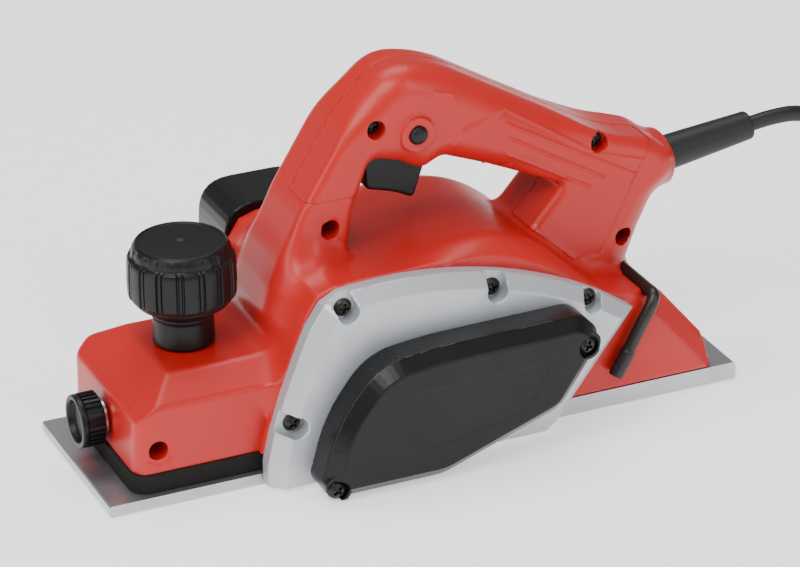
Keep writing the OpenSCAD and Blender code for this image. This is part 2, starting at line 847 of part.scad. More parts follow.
module blade_wrench() {
    color("dimgray") union() {
        bar(wrench_at, wrench_r, -42, -10);
        tube([[wrench_at[0], -42 + e, wrench_at[1]], [41, -43, 50.9], [40.5, -44.6, 49.9],
            [39.2, -45.5, 47.6], [36, -45.6, 42]], wrench_r, 16, [1, 0, 0]);
        tube([[36, -45.6, 42], [28.2, -45.6, 27.5]], wrench_r, 16, [0, 1, 0]);
        tube([[28.2, -45.6, 27.5], [22.5, -45.6, 17]], wrench_r + 0.5, 16, [0, 1, 0]);
    }
}

// ---- Cord -----------------------------------------------------------------------------------

module power_cord() {
    color("dimgray") tube(cord_route, cord_d / 2, cord_sides, [0, 1, 0.1]);
}

module cord_coil() {
    color("dimgray") translate([coil_at[0], coil_at[1], 0]) rotate_extrude()
        translate([coil_inner, 0]) square([coil_outer - coil_inner, coil_h]);
}

module coil_tie() {
    color("dimgray") translate([coil_at[0], coil_at[1], 0]) rotate([0, 0, 60]) difference() {
        box([coil_inner - 1, coil_outer + 1], [-6, 6], [0, coil_h + 1]);
        box([coil_inner, coil_outer], [-7, 7], [-1, coil_h]);
    }
}

module plug_body() {
    color("dimgray") translate([plug_at[0], plug_at[1], 13]) {
        rail(0, 0, 12.8, -15, 5);
        rotate([0, 90, 0]) translate([0, 0, 5 - e]) cylinder(r1 = 12.8, r2 = 6, h = 15);
        rail(0, 0, 5.5, 20 - 2 * e, 38);
    }
}

module plug_pins() {
    color("silver") for (s = [-1, 1]) translate([plug_at[0], plug_at[1], 13])
        rail(0, s * 9.5, 2.4, -34, -15);
}

main_housing();
handle_cover();
side_frame();
rear_base();
front_base();
nose_seal();
belt_cover();
chip_chute();
chip_deflector();
cutter_drum();
drum_shaft();
cutter_blades();
blade_plates();
blade_bolts();
drum_bearings();
drum_pulley();
pulley_nut();
drive_belt();
motor_pulley();
armature_shaft();
armature_core();
commutator();
cooling_fan();
motor_bearings();
motor_field();
field_coils();
brush_holders();
carbon_brushes();
depth_knob();
depth_screw();
depth_nut();
depth_spring();
screw_clip();
clamp_knob();
clamp_washer();
clamp_nut();
trigger();
trigger_pin();
switch_body();
lock_button();
lock_spring();
cord_guard();
cord_clamp();
clamp_screws();
frame_screws();
cover_screws();
handle_screws();
housing_screws();
base_screws();
chute_screws();
blade_wrench();
power_cord();
cord_coil();
coil_tie();
plug_body();
plug_pins();
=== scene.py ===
"""Looks of a handheld electric planer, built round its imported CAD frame.

X points to the rear, -Y to the belt side and Z up. Lengths in the shape code are millimetres.
"""

import json
import math

import bpy
import numpy as np
from mathutils import Matrix, Vector

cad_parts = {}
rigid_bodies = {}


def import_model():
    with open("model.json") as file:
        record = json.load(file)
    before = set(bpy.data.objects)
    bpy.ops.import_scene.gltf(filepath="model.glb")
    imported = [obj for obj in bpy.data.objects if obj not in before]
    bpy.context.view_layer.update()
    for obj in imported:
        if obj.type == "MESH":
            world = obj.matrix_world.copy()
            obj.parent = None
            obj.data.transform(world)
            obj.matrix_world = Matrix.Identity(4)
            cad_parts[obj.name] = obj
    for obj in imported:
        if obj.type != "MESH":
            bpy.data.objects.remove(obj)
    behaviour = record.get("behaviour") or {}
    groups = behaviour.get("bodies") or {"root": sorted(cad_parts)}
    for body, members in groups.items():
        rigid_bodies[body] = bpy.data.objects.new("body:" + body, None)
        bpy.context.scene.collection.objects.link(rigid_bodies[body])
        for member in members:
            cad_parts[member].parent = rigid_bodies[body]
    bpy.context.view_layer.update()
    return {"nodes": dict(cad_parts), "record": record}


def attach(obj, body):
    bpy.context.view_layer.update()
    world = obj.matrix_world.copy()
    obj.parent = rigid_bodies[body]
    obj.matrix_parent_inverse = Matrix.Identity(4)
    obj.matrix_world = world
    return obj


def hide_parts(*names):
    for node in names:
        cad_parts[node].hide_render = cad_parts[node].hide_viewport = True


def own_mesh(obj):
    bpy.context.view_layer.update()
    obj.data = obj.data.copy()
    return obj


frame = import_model()

bl_info = {
    "name": "Handheld electric planer",
    "version": (1, 0, 0),
    "blender": (4, 5, 0),
    "location": "View3D > Sidebar > Planer",
    "description": "Builds the planer's mouldings, fittings, finishes and studio round its CAD frame",
    "category": "Add Mesh",
}

MM = 0.001


# ---- Outlines ----


def rounded(corners, steps=7):
    """An outline of [x, z, rounding] corners, where a rounding of 0 is a sharp corner."""
    points = []
    for i, (px, pz, cut) in enumerate(corners):
        p = np.array([px, pz], float)
        if cut <= 0:
            points.append(p)
            continue
        a = np.array(corners[i - 1][:2], float) - p
        b = np.array(corners[(i + 1) % len(corners)][:2], float) - p
        q0, q1 = p + cut * a / np.hypot(*a), p + cut * b / np.hypot(*b)
        for s in np.linspace(0, 1, steps + 1):
            points.append((1 - s) ** 2 * q0 + 2 * s * (1 - s) * p + s * s * q1)
    return [(float(p[0]), float(p[1])) for p in points]


def arc(cx, cz, r, start, end, steps):
    """Points on an arc whose angle is counted from straight up towards +X."""
    turns = np.radians(np.linspace(start, end, steps + 1))
    return [(cx + r * math.sin(a), cz + r * math.cos(a)) for a in turns]


ROOF = arc(-82, -107.6, 192, 32, -7, 22)
BODY = [(-126, 8), (72, 8), (72, 17), (70.5, 22), (51, 45), (45, 50), *ROOF]
BODY += [(-113, 80.5), (-118, 73), (-122, 63), (-131, 41), (-136, 25), (-139, 13.5), (-126, 13.5)]
HANDLE = rounded([
    (-122, 66, 0), (-114, 100, 14), (-84, 148, 11), (-66, 163, 10), (-44, 159, 11), (32, 115, 12),
    (56, 108.5, 4), (66, 99, 5), (65, 89, 4), (58, 80, 3), (52, 68, 0), (42, 42, 0), (5, 50, 0),
    (-100, 60, 0),
])
GRIP_HOLE = rounded([
    (-92, 60, 0), (-86, 104, 0), (-78, 125, 5), (-64, 120.5, 3), (-53, 114, 4), (-43, 118, 3), (11, 97, 4),
    (-6, 78, 0), (-18, 60, 0),
])
NOSE_SIDE = rounded([(-193, 13.5, 0), (-192, 37, 2), (-173, 52, 1), (-100, 52, 0), (-100, 13.5, 0)])
NOSE_END = [(-38, 8), (38, 8), (38, 43), (24, 52), (-24, 52), (-38, 43)]
RIM = [(-139, 2), (-7, 2), (29, 49), *arc(-82, -107.6, 192, 30, -7, 20)]
RIM += [(-113, 79), (-119, 70), (-123, 61), (-131, 41), (-136, 25), (-139, 12)]
LOW_RIM = [(-139, -8), (-14.7, -8), *RIM[2:]]
CHUTE = rounded([(-119, 44, 2), (-119, 86, 15), (-72, 86, 12), (-72, 44, 2)])
NEAR, FAR = -41.5, 45
FRAME_FACE, COVER_FACE, CHUTE_END = -53, -71, 76
HALF_GRIP, HALF_NOSE = 18.5, 38
DRUM, MOTOR = (-100, 22), (-38, 41)
LOCK, GUIDE_HOLE, WRENCH_HOLE = (-58, 133.8), (-182.7, 23.8), (41, 51)
KNOB_AT, CLAMP_AT, PLUG_AT = (-156, 0), (0, 24.5), (231, 75, 13)
GUARD_ROOT, GUARD_TILT = (60, 0, 92.6), math.radians(8)
GUARD_AXIS = (math.cos(GUARD_TILT), 0, math.sin(GUARD_TILT))
FRAME_SCREWS = [(-127.5, 28.8), (-104, 76.3), (-37, 71.8), (8, 57.6)]
COVER_SCREWS = [(-117.3, 5.6), (-3.3, 47.4)]
HANDLE_SCREWS = [(-76, 138.5), (27, 113.3)]
DEEP_SCREWS = [(-97.2, 98), (39.7, 67.2)]
CHUTE_SCREWS = [(-123.5, 60), (-67.5, 60)]
BASE_SCREWS = [(-70, -36), (-70, 36), (66, -30), (66, 30)]


def cover_region(g):
    """Part of the handle's belt side that comes off, shrunk by g."""
    return [
        (-140, 111 - g), (-140, 175), (52, 175), (52 + g, 108), (47 + g, 101), (28 + g, 62),
        (-12, 62), (-12, 111 - g),
    ]


def belt_outline(g):
    """Outline of the belt cover, shrunk by g."""
    return rounded([
        (-123 + g, 7 + g, 3), (-119 + g, 0.8 + g, 3), (-68 - g / 3, 0.8 + g, 4), (-14 - g, 20 + g, 5),
        (2 - g, 44, 1), (3 - g, 53 - g, 4), (-5 - g, 61 - g, 5), (-71, 60 - g, 10),
        (-97 + g, 57 - g, 12), (-116 + g, 33, 14),
    ])


# ---- Distance fields: negative inside, in millimetres ----


def inside_of(points, x, z):
    """Signed distance from an outline in two directions."""
    best, within = np.inf, np.zeros(np.broadcast(x, z).shape, bool)
    for (x0, z0), (x1, z1) in zip(points, points[1:] + points[:1]):
        ex, ez = x1 - x0, z1 - z0
        wx, wz = x - x0, z - z0
        t = np.clip((wx * ex + wz * ez) / (ex * ex + ez * ez + 1e-12), 0, 1)
        best = np.minimum(best, (wx - ex * t) ** 2 + (wz - ez * t) ** 2)
        if z0 != z1:
            within ^= ((z0 > z) != (z1 > z)) & (wx < ex * wz / ez)
    return np.where(within, -1, 1) * np.sqrt(best)


def slab(d, y, y0, y1, r=0.01):
    """An outline's distance pulled out between two planes, with edges rounded to r."""
    across, up = d + r, np.abs(y - (y0 + y1) / 2) - (y1 - y0) / 2 + r
    return np.minimum(np.maximum(across, up), 0) + np.hypot(np.maximum(across, 0), np.maximum(up, 0)) - r


def join(a, b, k):
    """Union whose seam is filled to a radius of about k."""
    h = np.maximum(k - np.abs(a - b), 0) / k
    return np.minimum(a, b) - h * h * k / 4


def meet(a, b, k=0.01):
    """What two shapes share, with edges eased by k."""
    return -join(-a, -b, k)


def cut(a, b, k=0.01):
    """A shape without another, with edges eased by k."""
    return -join(-a, b, k)


def bar(at, r, x, y, z, y0, y1, edge=0.01):
    """Round bar across the tool."""
    return slab(np.hypot(x - at[0], z - at[1]) - r, y, y0, y1, edge)


def rail(y_at, z_at, r, x, y, z, x0, x1):
    """Round bar along the tool."""
    return slab(np.hypot(y - y_at, z - z_at) - r, x, x0, x1)


def post(x_at, y_at, r, x, y, z, z0, z1):
    """Round bar that stands up."""
    return slab(np.hypot(x - x_at, y - y_at) - r, z, z0, z1)


def ramp(v, a, b):
    """Smooth rise from 0 at a to 1 at b."""
    t = np.clip((v - a) / (b - a), 0, 1)
    return t * t * (3 - 2 * t)


def contour(field, low, high, step):
    """Points and quads of the surface where a field is 0, with its sharp edges kept."""
    axes = [np.arange(low[k] - 1.63 * step, high[k] + 2.5 * step, step) for k in range(3)]
    f = field(axes[0][:, None, None], axes[1][None, :, None], axes[2][None, None, :])
    f = np.ascontiguousarray(np.broadcast_to(f, [len(a) for a in axes]))
    within = f < 0
    stride = np.array([f.shape[1] * f.shape[2], f.shape[2], 1])
    origin = np.array([a[0] for a in axes])
    spots, tilts, homes, quads = [], [], [], []
    for k in range(3):
        first = [slice(None)] * 3
        first[k] = slice(0, -1)
        then = [slice(None)] * 3
        then[k] = slice(1, None)
        at = np.argwhere(within[tuple(first)] != within[tuple(then)])
        home = at @ stride
        f0, f1 = f.reshape(-1)[home], f.reshape(-1)[home + stride[k]]
        t = f0 / (f0 - f1)
        p = origin + at * step
        p[:, k] += t * step
        near = field(*p.T)
        p[:, k] -= np.clip(near / (f1 - f0), -t, 1 - t) * step
        here = field(*p.T)
        tilt = np.stack([field(*(p + 0.02 * np.eye(3)[m]).T) - here for m in range(3)], 1)
        tilt /= np.maximum(np.linalg.norm(tilt, axis=1, keepdims=True), 1e-9)
        u, v = stride[(k + 1) % 3], stride[(k + 2) % 3]
        ring = np.stack([home, home - u, home - u - v, home - v], 1)
        quads.append(np.where((f0 < 0)[:, None], ring, ring[:, ::-1]))
        for corner in ring.T:
            spots.append(p)
            tilts.append(tilt)
            homes.append(corner)
    cells, slot = np.unique(np.concatenate(homes), return_inverse=True)
    p, n, size = np.concatenate(spots), np.concatenate(tilts), len(cells)

    def total(values):
        return np.bincount(slot, values, size)

    count = total(None)
    middle = np.stack([total(p[:, m]) / count for m in range(3)], 1)
    a = np.stack([np.stack([total(n[:, i] * n[:, j]) for j in range(3)], 1) for i in range(3)], 1)
    rest = (n * (p - middle[slot])).sum(1)
    b = np.stack([total(n[:, i] * rest) for i in range(3)], 1)
    a += 0.06 * np.eye(3)
    low_corner = origin + np.stack(np.unravel_index(cells, f.shape), 1) * step
    place = middle + np.linalg.solve(a, b[:, :, None])[:, :, 0]
    place = np.clip(place, low_corner - 0.1 * step, low_corner + 1.1 * step)
    return place, np.searchsorted(cells, np.concatenate(quads))


# ---- Meshes ----


def turned(profile, sides, shape=None):
    """A solid turned about Z from [r, z] points that run from one pole to the other."""
    turn = np.arange(sides) * 2 * math.pi / sides
    points, faces = [(0, 0, profile[0][1])], []
    for r, z in profile[1:-1]:
        reach = np.full(sides, float(r)) if shape is None else shape(turn, r, z)
        points += list(zip(reach * np.cos(turn), reach * np.sin(turn), np.full(sides, float(z))))
    points.append((0, 0, profile[-1][1]))
    rings = len(profile) - 2
    for k in range(sides):
        n = (k + 1) % sides
        faces.append((0, 1 + n, 1 + k))
        for i in range(rings - 1):
            a = 1 + i * sides
            faces.append((a + k, a + n, a + sides + n, a + sides + k))
        last = 1 + (rings - 1) * sides
        faces.append((last + k, last + n, len(points) - 1))
    return np.array(points), faces


def eased(profile, r, steps=4):
    """A profile with its inner corners rounded to about r."""
    out = [profile[0]]
    for a, p, b in zip(profile, profile[1:], profile[2:]):
        a, p, b = (np.array(q, float) for q in (a, p, b))
        reach = min(r, 0.45 * np.hypot(*(a - p)), 0.45 * np.hypot(*(b - p)))
        q0, q1 = p + reach * (a - p) / np.hypot(*(a - p)), p + reach * (b - p) / np.hypot(*(b - p))
        for s in np.linspace(0, 1, steps):
            out.append(tuple((1 - s) ** 2 * q0 + 2 * s * (1 - s) * p + s * s * q1))
    return [*out, profile[-1]]


def aimed(points, origin, axis):
    """Points that were made about Z, turned so that Z runs along axis from origin."""
    turn = np.array(Vector((0, 0, 1)).rotation_difference(Vector(axis)).to_matrix())
    return np.asarray(points) @ turn.T + np.array(origin, float)


def smooth_path(points, steps):
    """A path through all the points, with steps between each two."""
    p = np.array(points, float)
    p = np.vstack([2 * p[0] - p[1], p, 2 * p[-1] - p[-2]])
    out = []
    for a, b, c, d in zip(p, p[1:], p[2:], p[3:]):
        for t in np.arange(steps) / steps:
            out.append(0.5 * (2 * b + (c - a) * t + (2 * a - 5 * b + 4 * c - d) * t * t
                              + (3 * b - a - 3 * c + d) * t ** 3))
    return np.array([*out, p[-2]])


def swept(path, radii, sides):
    """A closed tube along a path, with one radius for each of its points."""
    path = np.asarray(path, float)
    ahead = np.gradient(path, axis=0)
    ahead /= np.linalg.norm(ahead, axis=1, keepdims=True)
    side = np.cross(ahead[0], (0.31, 0.11, 0.94))
    turn = np.arange(sides) * 2 * math.pi / sides
    points, faces = [], []
    for p, t, r in zip(path, ahead, np.broadcast_to(radii, len(path))):
        side = side - t * (side @ t)
        side /= np.linalg.norm(side)
        up = np.cross(t, side)
        points += list(p + r * (np.cos(turn)[:, None] * side + np.sin(turn)[:, None] * up))
    for i in range(len(path) - 1):
        for k in range(sides):
            n = (k + 1) % sides
            a = i * sides
            faces.append((a + k, a + n, a + sides + n, a + sides + k))
    faces.append(tuple(range(sides - 1, -1, -1)))
    faces.append(tuple(range((len(path) - 1) * sides, len(path) * sides)))
    return np.array(points), faces


def mesh_of(name, points, faces, material, angle=32):
    """A smooth-shaded mesh in metres from millimetre points."""
    mesh = bpy.data.meshes.new(name)
    mesh.from_pydata((np.asarray(points) * MM).tolist(), [], [tuple(int(i) for i in f) for f in faces])
    mesh.materials.append(material)
    mesh.shade_smooth()
    mesh.set_sharp_from_angle(angle=math.radians(angle))
    return mesh


def linked(name, data):
    """A new object at the origin, in the scene."""
    obj = bpy.data.objects.new(name, data)
    bpy.context.scene.collection.objects.link(obj)
    return obj


def settled(obj, body, slot, *nodes):
    """Rides a piece on its body and hides the CAD nodes that it stands for; its slot is not used."""
    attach(obj, body)
    if nodes:
        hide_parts(*nodes)
    return obj


def piece(name, shape, finish, body, *nodes, angle=32):
    """A finished piece from (points, faces), with a finish as its material."""
    obj = linked(name, mesh_of(name, *shape, FINISHES[finish], angle))
    return settled(obj, body, finish, *nodes)


# ---- Finishes ----


class Value:
    """A number socket that adds Math nodes when it stands in an expression."""

    def __init__(self, finish, socket):
        self.finish, self.socket = finish, socket

    def math(self, operation, *values):
        """One Math node over numbers or sockets."""
        node = self.finish.node("Math", {"operation": operation}, dict(enumerate(values)))
        return Value(self.finish, node.outputs[0])

    def __add__(self, other):
        return self.math("ADD", self, other)

    def __radd__(self, other):
        return self.math("ADD", other, self)

    def __sub__(self, other):
        return self.math("SUBTRACT", self, other)

    def __rsub__(self, other):
        return self.math("SUBTRACT", other, self)

    def __mul__(self, other):
        return self.math("MULTIPLY", self, other)

    def __rmul__(self, other):
        return self.math("MULTIPLY", other, self)

    def above(self, low, high):
        """0 below low, 1 above high."""
        settings = {"interpolation_type": "SMOOTHSTEP"}
        node = self.finish.node("MapRange", settings, {"Value": self, "From Min": low, "From Max": high})
        return Value(self.finish, node.outputs[0])


class Finish:
    """A material whose nodes are added one by one."""

    def __init__(self, name):
        self.material = bpy.data.materials.new(name)
        self.material.use_nodes = True
        self.tree = self.material.node_tree
        self.shader = self.tree.nodes["Principled BSDF"]
        self.place = self.node("TexCoord").outputs["Object"]

    def node(self, kind, settings=None, inputs=None):
        """Any node: its settings first, then its sockets' values or links."""
        made = self.tree.nodes.new("ShaderNode" + kind)
        for name, value in (settings or {}).items():
            setattr(made, name, value)
        for name, value in (inputs or {}).items():
            self.put(made.inputs[name], value)
        return made

    def put(self, socket, value):
        """Links a socket to a value's socket, or sets it."""
        if isinstance(value, Value):
            value = value.socket
        if isinstance(value, bpy.types.NodeSocket):
            self.tree.links.new(value, socket)
        else:
            socket.default_value = value

    def set(self, **inputs):
        """Sockets of the shader, with underscores for spaces."""
        for name, value in inputs.items():
            self.put(self.shader.inputs[name.replace("_", " ")], value)

    def stretched(self, scale):
        """The piece's coordinates, stretched for a grain that runs one way."""
        node = self.node("Mapping", {}, {"Vector": self.place, "Scale": scale})
        return node.outputs["Vector"]

    def noise(self, scale, detail=2.0, vector=None, roughness=0.5):
        """Smooth noise over the piece."""
        inputs = {"Vector": vector or self.place, "Scale": scale, "Detail": detail, "Roughness": roughness}
        return Value(self, self.node("TexNoise", {}, inputs).outputs[0])

    def cells(self, scale):
        """Distance to the nearest of many scattered points."""
        inputs = {"Vector": self.place, "Scale": scale}
        return Value(self, self.node("TexVoronoi", {}, inputs).outputs["Distance"])

    def along(self, axis):
        """Place along one axis, in metres."""
        node = self.node("SeparateXYZ", {}, {0: self.place})
        return Value(self, node.outputs["XYZ".index(axis)])

    def edges(self, low=0.53, high=0.62):
        """1 on outer edges, 0 on flat faces."""
        return Value(self, self.node("NewGeometry").outputs["Pointiness"]).above(low, high)

    def blend(self, share, a, b):
        """Two colours mixed by a share."""
        node = self.node("Mix", {"data_type": "RGBA"}, {})
        self.put(node.inputs["Factor"], share)
        self.put(node.inputs[6], a)
        self.put(node.inputs[7], b)
        return node.outputs[2]

    def bump(self, height, depth_mm):
        """Shades the surface as if it rose by up to depth_mm."""
        inputs = {"Height": height, "Distance": depth_mm * MM, "Strength": 1.0}
        self.set(Normal=self.node("Bump", {}, inputs).outputs[0])


def colour(hex_code):
    """A linear colour from its sRGB hex code."""
    srgb = [int(hex_code[i:i + 2], 16) / 255 for i in (0, 2, 4)]
    return [c / 12.92 if c <= 0.04045 else ((c + 0.055) / 1.055) ** 2.4 for c in srgb] + [1.0]


def moulded(name, main, worn, rough, grain, depth, coat=0.0, edge=0.25, shine=0.5):
    """Moulded plastic or rubber: faint mottling, a fine grain, and rubbed edges."""
    f = Finish(name)
    mottle, fine, smear = f.noise(22, 3), f.noise(grain, 3, roughness=0.6), f.noise(60, 4, roughness=0.65)
    rubbed = f.edges() * edge * smear.above(0.3, 0.7)
    f.rough = rough + (smear - 0.5) * 0.16 + (fine - 0.5) * 0.08 + rubbed * 0.15
    f.set(Base_Color=f.blend(rubbed + mottle.above(0.45, 0.8) * 0.12, main, worn), Roughness=f.rough)
    f.set(Coat_Weight=coat, Coat_Roughness=0.12, Specular_IOR_Level=shine)
    f.bump(fine, depth)
    return f


def metal(name, main, dark, rough, stretch, scale, depth, metallic=1.0):
    """Metal with a grain that runs one way, dull patches and brighter edges."""
    f = Finish(name)
    grain = f.noise(scale, 3, f.stretched(stretch), 0.6)
    dull, nicks = f.noise(35, 4, roughness=0.6), f.cells(240)
    bright = f.edges() * 0.5
    f.set(Base_Color=f.blend(dull.above(0.4, 0.75) * 0.45 - bright * 0.4, main, dark))
    f.set(Roughness=rough + (dull - 0.5) * 0.25 + (grain - 0.5) * 0.15 - bright * 0.1)
    f.set(Metallic=metallic)
    f.bump(grain + nicks.above(0.02, 0.09) * 0.15, depth)
    return f


def banded(name, main, dark, rough, axis, pitch_mm, metallic=1.0):
    """Thin layers or turns side by side along an axis, such as laminations or wire."""
    f = Finish(name)
    turns = f.along(axis) * (2 * math.pi / (pitch_mm * MM))
    wave = turns.math("SINE", turns)
    speck = f.noise(500, 3)
    f.set(Base_Color=f.blend(wave * 0.25 + speck * 0.3, main, dark), Metallic=metallic)
    f.set(Roughness=rough + (speck - 0.5) * 0.2)
    f.bump(wave, 0.08 * pitch_mm)
    return f


FINISHES = {}


def make_finishes(look):
    """Every finish of the tool, named by its material slot."""
    red = list(look.red) + [1.0]
    pale_red = [min(1.0, c * 1.25 + 0.03) for c in look.red] + [1.0]
    grained = (1, 1, 1)
    made = {
        "red_housing": moulded("red_housing", red, pale_red, look.gloss, 1400, 0.01, 0.05, 0.2, 0.38),
        "black_cover": moulded(
            "black_cover", colour("0f0f10"), colour("242322"), 0.5, 1300, 0.05, 0.0, 0.4, 0.3),
        "black_plastic": moulded(
            "black_plastic", colour("0f1011"), colour("242627"), 0.38, 900, 0.03, 0.0, 0.25, 0.28),
        "rubber": moulded("rubber", colour("17191a"), colour("2e3132"), 0.5, 1500, 0.05, shine=0.4),
        "cord_rubber": moulded(
            "cord_rubber", colour("17191a"), colour("2b2d2f"), 0.45, 1100, 0.05, shine=0.4),
        "seal_foam": moulded("seal_foam", colour("1f1d1b"), colour("35322f"), 0.9, 1700, 0.25, shine=0.2),
        "carbon": moulded("carbon", colour("1b1b1c"), colour("3a3a3c"), 0.6, 2500, 0.05),
        "cast_aluminium": metal(
            "cast_aluminium", colour("bfc3c8"), colour("a6abb1"), 0.45, grained, 2600, 0.03, 0.5),
        "base_aluminium": metal(
            "base_aluminium", colour("b9bcc0"), colour("85888d"), 0.36, (1, 26, 26), 90, 0.03, 0.9),
        "steel": metal("steel", colour("b9bbbd"), colour("6d6f72"), 0.3, (1, 18, 1), 160, 0.02),
        "blade_steel": metal(
            "blade_steel", colour("d9dcde"), colour("8f9396"), 0.22, (1, 30, 1), 120, 0.01),
        "black_screw": metal(
            "black_screw", colour("3c3b39"), colour("191817"), 0.38, grained, 1500, 0.02, 0.8),
        "brass": metal("brass", colour("d2b06a"), colour("8a6f38"), 0.3, (1, 1, 20), 300, 0.02),
        "copper": banded("copper", colour("b8622e"), colour("6e3413"), 0.35, "X", 0.8),
        "laminations": banded("laminations", colour("9a9c9f"), colour("4f5053"), 0.45, "Y", 0.7),
    }
    cover = made["black_cover"]
    upright = cover.along("Y").above((COVER_FACE + 0.1) * MM, (COVER_FACE + 0.5) * MM)
    cover.set(Roughness=cover.rough - upright * 0.2)
    FINISHES.update({name: f.material for name, f in made.items()})


# ---- Red mouldings ----


def body_field(x, y, z):
    """Motor body with its wedge-shaped rear and round barrel."""
    side = slab(inside_of(BODY, x, z), y, NEAR, FAR, 2.2)
    slope = (x - 51) * 0.763 + (z - 45) * 0.647
    for beside in (NEAR - y, y - FAR):
        side = meet(side, (slope + beside + 9.5) * 0.707, 0.5)
    barrel = bar(MOTOR, 48, x, y, z, NEAR, FAR, 14)
    return meet(join(side, np.maximum(barrel, 53 - z), 13), np.maximum(NEAR - y, y - FAR), 0.8)


def nose_field(x, y, z):
    """Nose with its flat top, sloped facets and rounded upright corners."""
    plan = inside_of([(-193, -38), (-100, -38), (-100, 38), (-193, 38)], x, y)
    reach = np.maximum(np.abs(y) - 30, 0)
    round_end = np.hypot(np.maximum(-185 - x, 0), reach) - 8
    plan = np.maximum(plan, round_end)
    return meet(meet(inside_of(NOSE_SIDE, x, z), inside_of(NOSE_END, y, z), 1.4), plan, 1.4)


def guard_axes(x, y, z):
    """Distances along the cord guard's axis and off it."""
    along_x, along_z = x - GUARD_ROOT[0], z - GUARD_ROOT[2]
    along = along_x * GUARD_AXIS[0] + along_z * GUARD_AXIS[2]
    return along, np.hypot(y, along_z * GUARD_AXIS[0] - along_x * GUARD_AXIS[2])


def handle_field(x, y, z):
    """Loop handle: tight edges on the front leg, a full round on the grip and behind the rear leg."""
    ring = np.maximum(inside_of(HANDLE, x, z), -inside_of(GRIP_HOLE, x, z))
    grip = ramp(x + 0.9 * z, 26, 62) * (1 - ramp(x, 5, 30)) * ramp(z, 96, 112)
    rear = ramp((x - 42) * 0.908 - (z - 42) * 0.419, -28, -12) * (1 - 0.7 * ramp(z, 82, 100))
    shape = slab(ring, y, -HALF_GRIP, HALF_GRIP, 4.5 + np.maximum(7.5 * grip, 11 * rear))
    along, off = guard_axes(x, y, z)
    collar = slab(off - 12.6, along, -22, 7.5, 3)
    return join(shape, collar, 5)


def red_field(x, y, z):
    """All of the red moulding before it is parted."""
    body, handle = body_field(x, y, z), handle_field(x, y, z)
    foot = join(body, np.maximum(handle, 45 - z), 6 + 15 * (1 - ramp(x, -106, -88)))
    return join(foot, nose_field(x, y, z), 0.05 + 8 * ramp(z, 26, 38))


HOLLOWS = [
    [(-89, 130), (-75, 145), (-64, 154), (-49, 151.5), (38, 104.5), (52, 99), (50, 90), (13, 101.5),
     (-42, 123.5), (-76, 130)],
    [(15, 103), (51, 96), (52, 82), (42, 66), (22, 66), (9, 84)],
    [(-89, 132), (-81, 131), (-92, 104), (-103, 104), (-103, 112)],
]
DUCT = rounded([(-113, 35, 0), (-113, 79, 9), (-78, 79, 8), (-78, 35, 0)])
MOTOR_BAY = [(-12, 40), (4, 12), (60, 12), (44, 40), (22, 46), (-10, 46)]
TRIGGER_SLOT = [(-84, 104), (-79, 131), (-36, 130), (-39, 104)]


def inner_rooms(x, y, z):
    """Hollows for the handle's wiring, the drum, the chips and the motor."""
    grip = np.minimum.reduce([inside_of(h, x, z) for h in HOLLOWS])
    rooms = [
        slab(grip, y, -14.5, 14.5, 5),
        bar(DRUM, 24.3, x, y, z, -60, 41.8),
        slab(inside_of([(-116, -10), (-84, -10), (-84, 22), (-116, 22)], x, z), y, -60, 41.8),
        slab(inside_of(DUCT, x, z), y, -29, 41.8),
        slab(np.maximum(inside_of(DUCT, x, z), inside_of(CHUTE, x, z) + 2.5), y, 40, 60),
        bar(MOTOR, 27, x, y, z, -60, 36),
        np.maximum(bar(MOTOR, 45, x, y, z, -32, 34), np.maximum(np.abs(x + 35) - 39, 41 - z)),
        slab(inside_of(MOTOR_BAY, x, z), y, -34, 34),
        slab(inside_of(TRIGGER_SLOT, x, z), y, -8.5, 8.5),
    ]
    return np.minimum.reduce(np.broadcast_arrays(*rooms))


def gland(x, y, z):
    """Room for the cord guard's root in the collar."""
    along, off = guard_axes(x, y, z)
    return np.minimum(slab(off - 10.4, along, -9, 0.5), slab(off - 8, along, 0, 30))


def housing_field(x, y, z):
    """Main housing: the red moulding without its cover, rooms and seats."""
    region = np.maximum(inside_of(cover_region(0.15), x, z), np.maximum(y - 0.1, -30 - y))
    parted = np.maximum(region, 2.5 - body_field(x, y, z))
    shape = cut(red_field(x, y, z), parted, 0.35)
    shape = np.minimum(shape, bar(DRUM, 14.5, x, y, z, 44, 51, 1))
    shape = np.maximum(shape, -inner_rooms(x, y, z))
    nose_room = slab(inside_of([(-188, 10), (-131, 10), (-131, 39), (-188, 39)], x, z), y, -35, 35)
    kept = [
        bar(GUIDE_HOLE, 8.2, x, y, z, -HALF_NOSE, HALF_NOSE), rail(*CLAMP_AT, 8, x, y, z, -193, -182),
        post(*KNOB_AT, 12.5, x, y, z, 33, 60),
    ]
    nose_room = np.maximum(nose_room, -np.minimum.reduce(np.broadcast_arrays(*kept)))
    shape = np.maximum(shape, -nose_room)
    shape = cut(shape, bar(GUIDE_HOLE, 4.2, x, y, z, -60, 60), 0.4)
    shape = cut(shape, bar(GUIDE_HOLE, 6.2, x, y, z, -60, 0.9 - HALF_NOSE), 0.4)
    holes = [
        rail(*CLAMP_AT, 4.1, x, y, z, -200, -182), rail(*CLAMP_AT, 6, x, y, z, -191, -187),
        post(*KNOB_AT, 6.05, x, y, z, 30, 60), post(*KNOB_AT, 9, x, y, z, 32, 44),
        bar(DRUM, 11, x, y, z, 41.7, 49), bar(MOTOR, 11, x, y, z, 35, 42.6),
        bar(WRENCH_HOLE, 3, x, y, z, -60, -8), gland(x, y, z),
        rail(27, 41, 5.2, x, y, z, -71.5, -50.5), rail(27, 41, 5.2, x, y, z, -25.5, -4.5),
    ]
    shape = np.maximum(shape, -np.minimum.reduce(np.broadcast_arrays(*holes)))
    for at in DEEP_SCREWS:
        shape = cut(shape, bar(at, 4.2, x, y, z, -60, -6), 0.6)
    return shape


